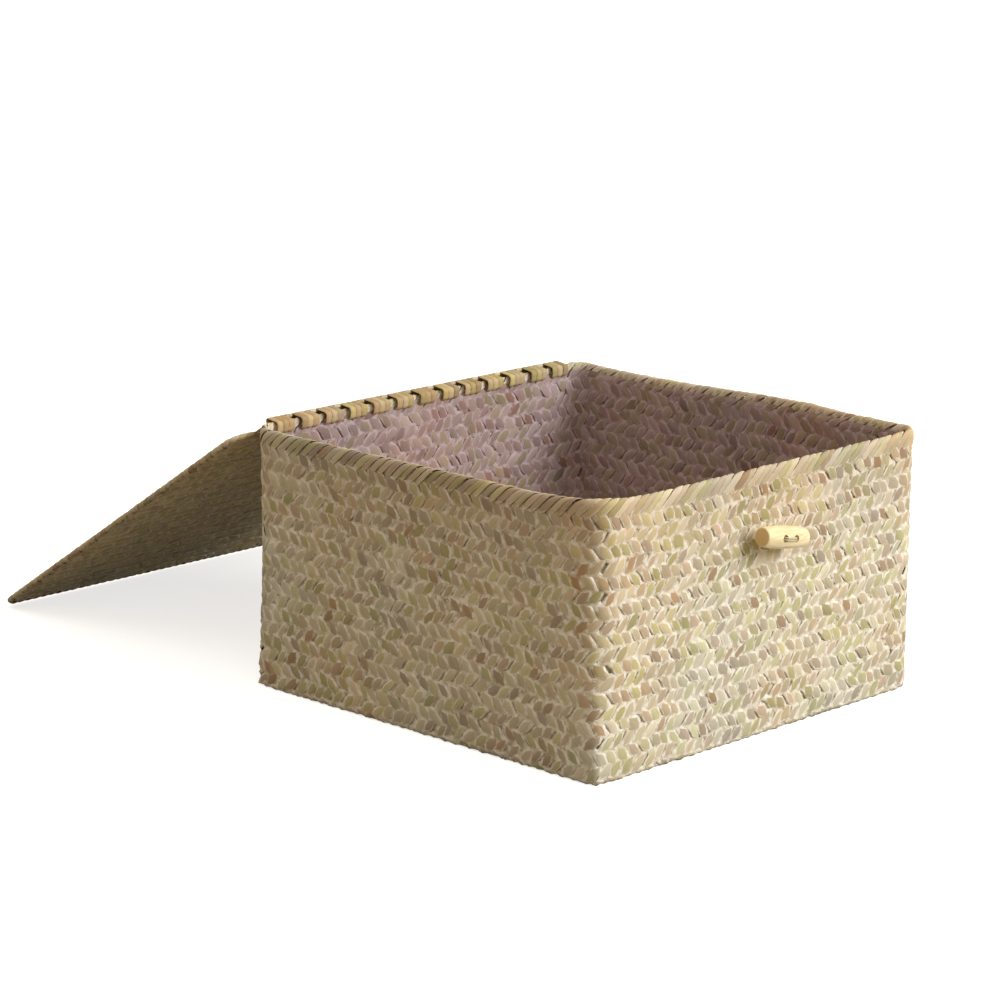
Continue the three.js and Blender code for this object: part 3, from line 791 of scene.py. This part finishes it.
class BOX_OT_stage(bpy.types.Operator):
    """Sets the camera, the lights, the white world and the pale floor"""

    bl_idname = "box.stage"
    bl_label = "Stage"

    # The camera's lens and place, and its ways to the right, up and back
    focal_length = 126.13
    camera_place = (-1.128738, -1.043210, 0.457199)
    camera_ways = (
        (0.6980847, -0.7159879, 0.0062476),
        (0.1639133, 0.1682963, 0.9720127),
        (-0.6970008, -0.6775232, 0.2348451),
    )
    floor_size = 14

    def execute(self, context):
        scene = context.scene
        scene.view_settings.view_transform = "Standard"
        lens = bpy.data.cameras.new("camera")
        lens.lens = self.focal_length
        turn = Matrix(self.camera_ways).transposed().to_4x4()
        scene.camera = self.put("camera", lens, Matrix.Translation(self.camera_place) @ turn)
        self.lamp("key", (0.75, -1.7, 1.15), (0, 0, 0.08), 1.1, 42, (0.96, 0.985, 1))
        self.lamp("sky", (-0.3, -0.2, 1.9), (0, 0.02, 0.05), 1.6, 7, (1, 1, 1))
        scene.world = self.white_room()
        self.floor()
        return {"FINISHED"}

    def put(self, name, data, matrix):
        thing = bpy.data.objects.new(name, data)
        bpy.context.scene.collection.objects.link(thing)
        thing.matrix_world = matrix
        return thing

    def lamp(self, name, place, aim, size, power, colour):
        light = bpy.data.lights.new(name, "AREA")
        light.size = size
        light.energy = power
        light.color = colour
        turn = (Vector(aim) - Vector(place)).to_track_quat("-Z", "Y").to_matrix().to_4x4()
        self.put(name, light, Matrix.Translation(place) @ turn)

    def white_room(self):
        """A world that looks white and lights more warmly and dimly than it looks."""
        world = bpy.data.worlds.new("white room")
        world.use_nodes = True
        graph = Graph(world.node_tree)
        seen = graph.background_ray()
        tint = graph.mix(seen, (1, 0.85, 0.67, 1), (1, 1, 1, 1))
        graph.feed(graph.nodes["Background"], {"Color": tint, "Strength": graph.ranged(seen, 0, 1, 0.5, 1)})
        return world

    def floor(self):
        """A floor that looks pale, and reflects a tan light onto the box."""
        deselect()
        bpy.ops.mesh.primitive_plane_add(size=self.floor_size, location=(0, 0, 0))
        floor = bpy.context.object
        floor.name = "floor"
        material, graph, shader = new_material("pale floor")
        graph.feed(shader, {"Base Color": (0.27, 0.215, 0.135, 1), "Roughness": 0.9})
        bright = graph.add("BsdfDiffuse", {"Color": (0.8, 0.8, 0.8, 1)})[0]
        glow = graph.add("Emission", {"Strength": 0.72})[0]
        pale = graph.add("AddShader", {0: bright, 1: glow})[0]
        shown = graph.add("MixShader", {"Fac": graph.background_ray(), 1: shader.outputs[0], 2: pale})[0]
        graph.feed(graph.nodes["Material Output"], {"Surface": shown})
        floor.data.materials.append(material)


class BOX_OT_closure_loop(bpy.types.Operator):
    """Twists the two-ply cord of the closure loop, which lies on the table past the lid, and its roots"""

    bl_idname = "box.closure_loop"
    bl_label = "Closure loop"

    cord = 3 * MM
    ply = 0.8 * MM
    ply_offset = 0.68 * MM
    lay = 6.5 * MM
    # One leg of the loop from its root, and the loop's far end, as millimetres across and along
    leg = ((5.0, 0.0), (5.0, 3.0), (6.0, 26.5), (6.0, 32.5), (4.243, 36.743))
    end = ((0.0, 38.5),)
    stops = 96
    root_past = 0.3 * MM

    def execute(self, context):
        mirrored = tuple((-x, y) for x, y in reversed(self.leg))
        route = [LOOP_ROOT + Vector((x, y, 0)) * MM for x, y in self.leg + self.end + mirrored]
        smooth = self.smooth(route)
        plies, gone = self.twisted(smooth)
        chance = np.random.default_rng(71)
        loop = loose_strands("closure_loop_cord", plies, chance, "loop", along=[gone, gone])
        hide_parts("closure_loop")
        dress(twine_material("loop cord"), loop.name, self.roots().name)
        return {"FINISHED"}

    def roots(self):
        """The cord's two ends, fast in the lid's folded edge."""
        places = np.linspace(-self.lay / 2, self.root_past, 10)
        runs, along = [], []
        for side in (-1, 1):
            way = np.outer(places, (0, 1, 0)) + (side * self.leg[0][0] * MM, 0, 0)
            plies, gone = self.twisted(way + np.array(LOOP_ROOT))
            runs += plies
            along += [gone, gone]
        chance = np.random.default_rng(72)
        return loose_strands("closure_loop_roots", runs, chance, "lid", along=along)

    def twisted(self, path):
        """Two plies wound round each other along a level path, and the distances along it."""
        gone = path_lengths(path)
        across = np.cross(UP, directions(path))
        plies = []
        for turn in (0, math.pi):
            angle = (gone * 2 * math.pi / self.lay + turn)[:, None]
            core = path + self.ply_offset * (across * np.cos(angle) + UP * np.sin(angle))
            plies.append(swept(core, across, UP, self.ply * ROUND))
        return plies, gone

    def smooth(self, route):
        """Even stops along a smooth curve through the route."""
        curve = bpy.data.curves.new("route", "CURVE")
        curve.dimensions = "3D"
        spline = curve.splines.new("BEZIER")
        spline.bezier_points.add(len(route) - 1)
        for point, place in zip(spline.bezier_points, route):
            point.co = place
            point.handle_left_type = point.handle_right_type = "AUTO"
        spline.resolution_u = 16
        guide = bpy.data.objects.new("route", curve)
        bpy.context.scene.collection.objects.link(guide)
        dense = np.array([tuple(vertex.co) for vertex in guide.to_mesh().vertices])
        guide.to_mesh_clear()
        bpy.data.objects.remove(guide)
        bpy.data.curves.remove(curve)
        gone = path_lengths(dense)
        return even_stops(dense, gone, np.linspace(0, gone[-1], self.stops))


class BOX_OT_walls(bpy.types.Operator):
    """Plaits the outer walls, from under the base up to the rim"""

    bl_idname = "box.walls"
    bl_label = "Outer walls"

    lowest = -9 * MM

    def execute(self, context):
        face = wall_face(-1, 0, 0, sizes().foot, 0)
        plait_walls("outer", face, SIDES, self.lowest, 0, 100)
        material = grass_material("outer seagrass", colours().outer_tint, 0.8, colours().rim_tint)
        dress(material, *(f"outer_{side}_plait" for side in SIDES))
        return {"FINISHED"}


class BOX_OT_lining(bpy.types.Operator):
    """Plaits the lining of the walls, down onto the floor of the box"""

    bl_idname = "box.lining"
    bl_label = "Lining"

    lowest = -2 * MM
    foot_share = 0.75

    def execute(self, context):
        face = wall_face(1, FLOOR_TOP, sizes().wall, self.foot_share * sizes().foot, 1)
        plait_walls("lining", face, ("front", "left", "back", "right"), self.lowest, 1, 200)
        material = grass_material("lining seagrass", colours().lining_tint, 0.65)
        dress(material, *(f"lining_{side}_plait" for side in SIDES))
        return {"FINISHED"}


class BOX_OT_core(bpy.types.Operator):
    """Packs the hidden space between the plaited layers, so that no light comes through"""

    bl_idname = "box.core"
    bl_label = "Core"

    depth = 0.85 * MM
    lid_depth = 0.6 * MM
    corner_depth = 0.8
    # The walls' core narrows to a crest under the rim's folds: heights below the rim, and depths inside
    shoulder, crest, crest_near, crest_far = 4.5 * MM, 2.6 * MM, 0.9 * MM, 1.9 * MM
    lean_height, lean = 3 * MM, 0.5 * MM
    base_inset, lid_inset, lid_gap = 6 * MM, 3.2 * MM, 2 * MM
    steps, lid_steps = 240, 24

    def execute(self, context):
        pieces = [
            finished(self.skin("wall_core", self.wall_rings(), closed=True), "basket"),
            finished(self.skin("base_core", self.base_rings()), "basket"),
            finished(self.skin("lid_core", self.lid_rings()), "lid"),
        ]
        dress(self.packed(), *(piece.name for piece in pieces))
        return {"FINISHED"}

    def wall_rings(self):
        around, length = box_outline()
        wall, corner = sizes().wall, sizes().corner
        inside = wall - self.depth
        low, high, crest = self.depth, HEIGHT - self.shoulder, HEIGHT - self.crest
        corners = (
            (inside, low), (inside, high - self.lean_height), (inside - self.lean, high),
            (self.crest_far, crest), (self.crest_near, crest), (self.depth, high), (self.depth, low),
        )
        s = np.linspace(0, length, self.steps, endpoint=False)
        core, way = around(s)
        shrink = self.corner_depth * np.exp(-((corner_gaps(s, length).min(axis=-1) / corner) ** 2))
        depths = [wall / 2 + (deep - wall / 2) * (1 - shrink) for deep, _ in corners]
        heights = [np.full(len(s), z) for _, z in corners]
        sides = [upright(core, way, s, length, deep, z) for deep, z in zip(depths, heights)]
        return np.stack(sides, axis=1)

    def base_rings(self):
        y = np.array((-1, 1)) * (DEPTH / 2 - self.base_inset)
        return self.slab(WIDTH / 2 - self.base_inset, y, self.depth, FLOOR_TOP - self.depth)

    def lid_rings(self):
        start, end = sizes().lid_start + self.lid_gap, lid_reach() - self.lid_inset
        out = np.linspace(start, end, self.lid_steps)
        half = sizes().lid_thickness / 2 - self.lid_depth
        middle = lid_bend(out) - sizes().lid_lift
        return moved(self.slab(WIDTH / 2 - self.lid_inset, out, middle - half, middle + half), LID_FRAME)

    def slab(self, half_x, y, low, high):
        """Sections of a slab across X, one for each place along Y."""
        sides = ((-half_x, low), (-half_x, high), (half_x, high), (half_x, low))
        return np.stack([np.stack(np.broadcast_arrays(x, y, z), axis=-1) for x, z in sides], axis=1)

    def skin(self, name, rings, closed=False):
        """A skin over rings of points, joined up or capped."""
        index = np.arange(rings[..., 0].size).reshape(rings.shape[:2])
        faces = quads(index, np.roll(index, -1, axis=0)) if closed else quads(index[:-1], index[1:])
        caps = [] if closed else [index[0, ::-1].tolist(), index[-1].tolist()]
        mesh = bpy.data.meshes.new(name)
        mesh.from_pydata(rings.reshape(-1, 3).tolist(), [], faces.tolist() + caps)
        return bpy.data.objects.new(name, mesh)

    def packed(self):
        material, graph, shader = new_material("packed seagrass")
        fibre = graph.noise(graph.add("TexCoord")["Object"], 420)
        colour = graph.shades(fibre, colours().core, (0.35, 0.75), (0.65, 1.1))
        graph.feed(shader, {"Base Color": colour, "Roughness": 0.9})
        return material


class BOX_OT_base(bpy.types.Operator):
    """Plaits the base's outer mat and its lining mat"""

    bl_idname = "box.base"
    bl_label = "Base"

    corner = 11 * MM
    inset = 3 * MM

    def execute(self, context):
        mats = (
            ("outer", flat_face(0.2 * MM, -1), 2.5 * MM, 300),
            ("lining", flat_face(FLOOR_TOP, 1), 3 * MM, 320),
        )
        for kind, face, margin, seed in mats:
            mat = plait_mat(
                f"{kind}_base_plait", face, WIDTH / 2 - margin, margin - DEPTH / 2, DEPTH / 2 - margin,
                self.corner, self.inset, sizes().layer, seed, "basket",
            )
            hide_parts(f"{kind}_base")
            dress(bpy.data.materials[f"{kind} seagrass"], mat.name)
        return {"FINISHED"}


class BOX_OT_rim(bpy.types.Operator):
    """Folds the rising strands over the rim and down inside"""

    bl_idname = "box.rim"
    bl_label = "Rim"

    slope = math.radians(40)
    folds = 172
    pinch = 0.32
    loose = 0.75
    # The folds start below the rim, turn just under its top and end at a lip inside
    below, turn_drop, lip_drop = 3 * MM, 0.35 * MM, 4.8 * MM
    sink_reach, sink = 2.6 * MM, 1.4 * MM
    lid_gap = 0.15 * MM

    def execute(self, context):
        settings = sizes()
        around, length = box_outline()
        half = settings.wall / 2
        low = RIM_BOTTOM - self.below
        fold = fold_profile(
            low, HEIGHT - self.lip_drop, HEIGHT - self.turn_drop, half, self.sink_reach, self.sink,
        )
        first = (low - band_drop()) / settings.band * length / settings.strands

        def place_points(s, where, facing, out):
            core, way = around(s)
            high = np.clip((where[..., 0] - RIM_BOTTOM) / (HEIGHT - RIM_BOTTOM), 0, 1)
            depth = (half + where[..., 1]) * (1 - self.pinch * high ** 2) + out * facing[..., 1]
            return upright(core, way, s, length, depth, where[..., 0] + out * facing[..., 0])

        folds = fold_row(
            "rim_folds", place_points, length, self.folds, fold, self.slope, first, self.loose,
            400, "basket",
        )
        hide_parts(*(f"rim_{side}" for side in SIDES))
        dress(grass_material("folded seagrass", colours().fold_tint, 0.6), folds.name)
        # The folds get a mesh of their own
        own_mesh(folds)
        return {"FINISHED"}


class BOX_OT_lid(bpy.types.Operator):
    """Plaits the lid's two mats and folds strands over its edges"""

    bl_idname = "box.lid"
    bl_label = "Lid"

    slope = math.radians(58)
    border = 4.5 * MM
    strand_pitch = 4.8 * MM
    loose = 0.25
    inset = 1.4 * MM
    float_inset = 2.2 * MM
    fold_inset, turn_drop = 0.15 * MM, 0.25 * MM
    sink_reach, sink = 2.2 * MM, 0.8 * MM

    def execute(self, context):
        settings = sizes()
        low, high = settings.lid_start + self.inset, lid_reach() - self.inset
        for kind, side, seed, slot in (("outer", -1, 500, "outer_plait"), ("inner", 1, 520, "lining_plait")):
            mat = plait_mat(
                f"lid_{kind}_plait", lid_face(side), WIDTH / 2 - self.inset, low, high,
                settings.lid_corner - self.inset, self.float_inset, settings.lid_layer, seed, "lid",
            )
            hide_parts(f"lid_{kind}_mat")
        material = grass_material("lid seagrass", colours().lid_tint, 0.8, colours().rim_tint)
        dress(material, "lid_outer_plait")
        dress(bpy.data.materials["lining seagrass"], "lid_inner_plait")
        self.edges()
        return {"FINISHED"}

    def edges(self):
        settings = sizes()
        reach, start, radius = lid_reach(), settings.lid_start, settings.lid_corner
        around, length = outline(WIDTH / 2, (reach - start) / 2, radius)
        half = settings.lid_thickness / 2 - self.fold_inset
        fold = fold_profile(
            -self.border, -self.border, -self.turn_drop, half, self.sink_reach, self.sink,
        )

        def place_points(s, where, facing, out):
            core, way = around(s)
            flat = core + way * (radius + where[..., 0] + out * facing[..., 0])[..., None]
            flat = flat + np.array((0, (start + reach) / 2))
            level = where[..., 1] + out * facing[..., 1] - settings.lid_lift + lid_bend(flat[..., 1])
            return moved(np.concatenate([flat, level[..., None]], axis=-1), LID_FRAME)

        folds = fold_row(
            "lid_edge_folds", place_points, length, round(length / self.strand_pitch), fold, self.slope, 0,
            self.loose, 540, "lid",
        )
        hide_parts("lid_left_border", "lid_right_border", "lid_front_border")
        dress(bpy.data.materials["folded seagrass"], folds.name)


class BOX_OT_hinge(bpy.types.Operator):
    """Lashes the lid's rolled edge to the back rim"""

    bl_idname = "box.hinge"
    bl_label = "Hinge lacing"

    tongue_width, tongue_thickness, tongue_hold = 3.8 * MM, 0.6 * MM, 2 * MM
    lash_width, lash_thickness = 3.75 * MM, 0.7 * MM
    # The rolled edge: its strands, their turns and the steps of a turn, and its reach past the last lashing
    strands, turns, steps = 6, 7, 24
    bundle_radius, bundle_width, bundle_thickness, bundle_past = 0.45 * MM, 1.0 * MM, 0.55 * MM, 2.5 * MM
    strand_shifts = (-3.45 * MM, 0.0, 3.45 * MM)

    def execute(self, context):
        self.rolled_edge()
        self.lashings()
        material = grass_material("lacing seagrass", colours().lash_tint, 0.45)
        dress(material, "lid_rolled_edge", *(f"{name}_strands" for name in LASHES))
        return {"FINISHED"}

    def rolled_edge(self):
        """A twisted bundle on the hinge line and tongues that carry the lid on it, between the lashings."""
        chance = np.random.default_rng(600)
        half = LASH_MIDDLES[-1].x + self.bundle_past
        stops = self.turns * self.steps
        phase = np.arange(self.strands) / self.strands
        angle = 2 * math.pi * (phase[:, None] + np.linspace(0, self.turns, stops))
        out = np.stack([np.zeros_like(angle), np.cos(angle), np.sin(angle)], axis=-1)
        path = out * self.bundle_radius
        path[..., 0] = np.linspace(-half, half, stops)
        middles = [place.x for place in LASH_MIDDLES]
        runs = [self.tongue((here + there) / 2) for here, there in zip(middles, middles[1:])]
        runs += [self.flap(middle + shift) for middle in middles for shift in self.strand_shifts]
        tongues = loose_strands("lid_tongues", moved(np.array(runs), LID_FRAME), chance, "lid")
        bundle = [
            ribbon_points(strand, facing, self.bundle_width, self.bundle_thickness)
            for strand, facing in zip(path, out)
        ]
        rolled = loose_strands(
            "lid_rolled_edge", moved(np.array(bundle), LID_FRAME), chance, "lid",
            along=[path_lengths(strand) for strand in path],
        )
        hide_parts("lid_hinge_fold")
        dress(bpy.data.materials["folded seagrass"], tongues.name)

    def tongue(self, x):
        """A strand of the lid that runs round the rolled edge between two lashings."""
        far = sizes().lid_start + self.tongue_hold
        sunk = float(lid_bend(np.array(far))) - sizes().lid_lift
        ring, spread = 0.85 * MM, 0.42 * MM
        angles = np.linspace(-0.6 * math.pi, -1.4 * math.pi, 9)
        ways = [(share * far, share * sunk) for share in (1.0, 0.65, 0.3)]
        start = [(reach, level - spread) for reach, level in ways]
        bend = [(ring * math.cos(angle), ring * math.sin(angle)) for angle in angles]
        back = [(reach, level + spread) for reach, level in reversed(ways)]
        return self.doubled(x, start + bend + back)

    def flap(self, x):
        """A strand of the lid that folds back just behind a lashing."""
        far, near = sizes().lid_start + self.tongue_hold, 3.2 * MM
        level, spread = -1.75 * MM, 0.35 * MM
        angles = np.linspace(-0.5 * math.pi, -1.5 * math.pi, 9)
        ways = np.linspace(far, near, 4)
        start = [(reach, level - spread) for reach in ways]
        bend = [(near + spread * math.cos(angle), level + spread * math.sin(angle)) for angle in angles[1:-1]]
        back = [(reach, level + spread) for reach in reversed(ways)]
        return self.doubled(x, start + bend + back)

    def doubled(self, x, flat):
        """A strand along a way of distances from the hinge line and heights, at a place across."""
        flat = np.array(flat)
        path = np.concatenate([np.full((len(flat), 1), x), flat], axis=1)
        tangent = np.gradient(path, axis=0)
        out = np.stack([np.zeros(len(path)), -tangent[:, 2], tangent[:, 1]], axis=-1)
        return ribbon_points(path, -unit(out), self.tongue_width, self.tongue_thickness)

    def lashings(self):
        """Each lashing is three strands side by side, pulled tight round the rim and the rolled edge."""
        for number, (name, middle) in enumerate(zip(LASHES, LASH_MIDDLES)):
            chance = np.random.default_rng(620 + number)
            low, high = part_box(name)
            runs = [self.ring(middle.x + shift, low, high, chance) for shift in self.strand_shifts]
            piece = loose_strands(f"{name}_strands", runs, chance, "basket", closed=True)
            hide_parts(name)

    def ring(self, x, low, high, chance):
        """A strand of a lashing: under the rim's foot, up behind it, over the rolled edge and down inside."""
        bar, turn, inner_turn = 0.8 * MM, 1.05 * MM, 1.95 * MM
        foot = low.z + 1.5 * MM
        inner = low.y + 0.45 * MM
        bends = (
            (inner + turn, HEIGHT - 3.4 * MM, turn),
            (DEPTH / 2, foot, turn),
            (HINGE.y, HINGE.z, bar),
            (inner + inner_turn, HEIGHT - 1.2 * MM, inner_turn),
        )
        path, out = belt(bends, 34)
        slant = 1.1 * MM * (path[:, 1] - foot) / (high.z - foot) + 0.15 * MM * chance.standard_normal()
        points = np.concatenate([(x - 0.5 * MM + slant)[:, None], path], axis=1)
        facing = np.concatenate([np.zeros((len(path), 1)), out], axis=1)
        return ribbon_points(points, facing, self.lash_width, self.lash_thickness, closed=True)


def belt(bends, count):
    """Even stops along a belt pulled tight round bends, which are given anticlockwise by their places
    and radii, with the way out at each stop."""
    ways = []
    for (x, y, radius), (next_x, next_y, next_radius) in zip(bends, bends[1:] + bends[:1]):
        apart = math.hypot(next_x - x, next_y - y)
        ways.append(math.atan2(next_y - y, next_x - x) - math.acos((radius - next_radius) / apart))
    dense, angles = [], []
    for (x, y, radius), begin, end in zip(bends, ways[-1:] + ways[:-1], ways):
        for angle in np.linspace(begin, begin + (end - begin) % (2 * math.pi), 9):
            dense.append((x + radius * math.cos(angle), y + radius * math.sin(angle)))
            angles.append(angle)
    dense = np.array(dense + dense[:1])
    angles = np.unwrap(np.array(angles + angles[:1]))
    gone = path_lengths(dense)
    even = np.linspace(0, gone[-1], count, endpoint=False)
    turned = np.interp(even, gone, angles)
    return even_stops(dense, gone, even), np.stack([np.cos(turned), np.sin(turned)], axis=-1)


class BOX_OT_toggle(bpy.types.Operator):
    """Turns the wooden toggle, drills it and sews it on"""

    bl_idname = "box.toggle"
    bl_label = "Toggle"

    length = 28 * MM
    middle = 10.2 * MM
    end = 8.4 * MM
    tilt = math.radians(10)
    hole = 3.4 * MM
    spacing = 7.2 * MM
    # The thread stands off the barrel and turns into its holes, two threads side by side
    thread_gap, thread_turn, thread_lift, thread_radius = 0.55 * MM, 1.5 * MM, 0.45 * MM, 0.42 * MM
    thread_stops = 40
    shank_turns, shank_radius, knot_swell = 10, 0.85 * MM, 1.5 * MM

    def execute(self, context):
        turn = Matrix.Translation(TOGGLE) @ Matrix.Rotation(self.tilt, 4, "Y")
        barrel = self.barrel()
        self.drill(barrel)
        barrel.data.transform(turn)
        barrel.name = "toggle_barrel"
        finished(barrel, "toggle")
        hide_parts("toggle")
        dress(self.wood(), barrel.name)
        self.thread(turn)
        return {"FINISHED"}

    def barrel(self):
        """A cylinder along X whose rings are swelled to a barrel, with its ends eased."""
        deselect()
        bpy.ops.mesh.primitive_cylinder_add(
            vertices=64, radius=self.end / 2, depth=self.length, rotation=(0, math.pi / 2, 0),
        )
        barrel = bpy.context.object
        bpy.ops.object.transform_apply(location=True, rotation=True, scale=True)
        bpy.ops.object.mode_set(mode="EDIT")
        for cut in np.linspace(-0.44, 0.44, 15):
            bpy.ops.mesh.select_all(action="SELECT")
            bpy.ops.mesh.bisect(plane_co=(cut * self.length, 0, 0), plane_no=(1, 0, 0))
        bpy.ops.object.mode_set(mode="OBJECT")
        for vertex in barrel.data.vertices:
            share = min(1, abs(vertex.co.x) / (self.length / 2))
            swell = 1 + (self.middle / self.end - 1) * (1 - share ** 2.2)
            vertex.co.y *= swell
            vertex.co.z *= swell
        self.ease(barrel, 0.7 * MM, 3, 50)
        return barrel

    def ease(self, barrel, width, segments, limit):
        """Rounds edges that are sharper than a limit in degrees."""
        bevel = barrel.modifiers.new("ease", "BEVEL")
        bevel.width = width
        bevel.segments = segments
        bevel.angle_limit = math.radians(limit)
        bpy.ops.object.modifier_apply(modifier=bevel.name)

    def drill(self, barrel):
        for side in (-1, 1):
            deselect()
            bpy.ops.mesh.primitive_cylinder_add(
                vertices=40, radius=self.hole / 2, depth=2 * self.middle, rotation=(math.pi / 2, 0, 0),
                location=(side * self.spacing / 2, 0, 0),
            )
            drill = bpy.context.object
            deselect()
            barrel.select_set(True)
            bpy.context.view_layer.objects.active = barrel
            cut = barrel.modifiers.new("hole", "BOOLEAN")
            cut.operation = "DIFFERENCE"
            cut.solver = "EXACT"
            cut.object = drill
            bpy.ops.object.modifier_apply(modifier=cut.name)
            bpy.data.objects.remove(drill)
        self.ease(barrel, 0.35 * MM, 2, 55)
        bpy.ops.object.mode_set(mode="EDIT")
        bpy.ops.mesh.select_all(action="SELECT")
        bpy.ops.mesh.dissolve_degenerate(threshold=0.002 * MM)
        bpy.ops.object.mode_set(mode="OBJECT")
        bpy.ops.object.shade_smooth_by_angle(angle=math.radians(40))

    def wood(self):
        material, graph, shader = new_material("toggle wood")
        base = Vector(colours().wood)
        where = graph.add("TexCoord")
        along = graph.stretched(where["Object"], Rotation=(0, -self.tilt, 0), Scale=(60, 900, 900))
        sides = graph.shades(graph.noise(along, 1.0, Detail=5), base, (0.32, 0.78), (0.62, 1.08))
        # End grain is darker: it faces along the barrel
        facing = graph.maths("ABSOLUTE", graph.add("SeparateXYZ", {0: where["Normal"]})[0])
        ends = (base.x * 0.72, base.y * 0.60, base.z * 0.45, 1)
        colour = graph.mix(graph.ranged(facing, 0.75, 0.95, 0, 1), sides, ends)
        graph.feed(shader, {
            "Base Color": colour, "Roughness": 0.32, "Coat Weight": 0.25, "Coat Roughness": 0.2,
        })
        return material

    def thread(self, turn):
        """Two threads side by side through both holes, a wound shank through the wall and a knot inside."""
        y = self.middle / 2 + self.thread_gap
        around, length = outline(self.spacing / 2, y, self.thread_turn)
        core, way = around(np.linspace(0, length, self.thread_stops, endpoint=False))
        flat = core + way * self.thread_turn
        across = np.cross(UP, directions(np.pad(flat, ((0, 0), (0, 1))), closed=True))
        paths = [np.insert(flat, 2, lift, axis=1) for lift in (-self.thread_lift, self.thread_lift)]
        runs = [swept(path, across, UP, self.thread_radius * ROUND) for path in paths]
        sewn = moved(np.array(runs), turn)
        bridge = loose_strands(
            "toggle_thread_turns", sewn, np.random.default_rng(700), "toggle",
            along=[path_lengths(run[:, 0]) for run in runs], closed=True,
        )
        knot_start = sizes().wall - DEPTH / 2 - TOGGLE.y
        angle = np.linspace(0, self.shank_turns * 2 * math.pi, 3 * self.thread_stops)
        knot_length, knot_margin = 2.4 * MM, 0.2 * MM
        depth = np.linspace(y - 0.3 * MM, knot_start + knot_length + knot_margin, len(angle))
        swell = np.clip((depth - knot_start - knot_margin) / knot_length, 0, 1)
        radius = self.shank_radius + self.knot_swell * np.sin(swell * math.pi) ** 0.8
        shank = np.stack([radius * np.cos(angle), depth, radius * np.sin(angle)], axis=-1)
        wound = ribbon_points(shank, unit(shank * (1, 0, 1)), 1.15 * MM, 0.8 * MM)
        shank_piece = loose_strands(
            "toggle_thread_shank", moved(wound, turn)[None], np.random.default_rng(701), "toggle",
            along=[path_lengths(shank)],
        )
        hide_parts("toggle_thread")
        dress(twine_material("toggle thread"), bridge.name, shank_piece.name)


class BOX_PT_panel(bpy.types.Panel):
    """Lists the box's steps, sizes and colours"""

    bl_idname = "BOX_PT_panel"
    bl_label = "Plaited box"
    bl_space_type = "VIEW_3D"
    bl_region_type = "UI"
    bl_category = "Box"

    def draw(self, context):
        for step in STEPS:
            self.layout.operator(step.bl_idname)
        for group in (context.scene.box_sizes, context.scene.box_colours):
            column = self.layout.column()
            for name in group.__annotations__:
                column.prop(group, name)


STEPS = (
    BOX_OT_stage,
    BOX_OT_closure_loop,
    BOX_OT_walls,
    BOX_OT_lining,
    BOX_OT_core,
    BOX_OT_base,
    BOX_OT_rim,
    BOX_OT_lid,
    BOX_OT_hinge,
    BOX_OT_toggle,
)
CLASSES = (BoxSizes, BoxColours, *STEPS, BOX_PT_panel)


def register():
    for each in CLASSES:
        bpy.utils.register_class(each)
    bpy.types.Scene.box_sizes = PointerProperty(type=BoxSizes)
    bpy.types.Scene.box_colours = PointerProperty(type=BoxColours)


def unregister():
    del bpy.types.Scene.box_colours
    del bpy.types.Scene.box_sizes
    for each in reversed(CLASSES):
        bpy.utils.unregister_class(each)


def main():
    register()
    for step in STEPS:
        family, action = step.bl_idname.split(".")
        getattr(getattr(bpy.ops, family), action)()


if __name__ == "__main__":
    main()
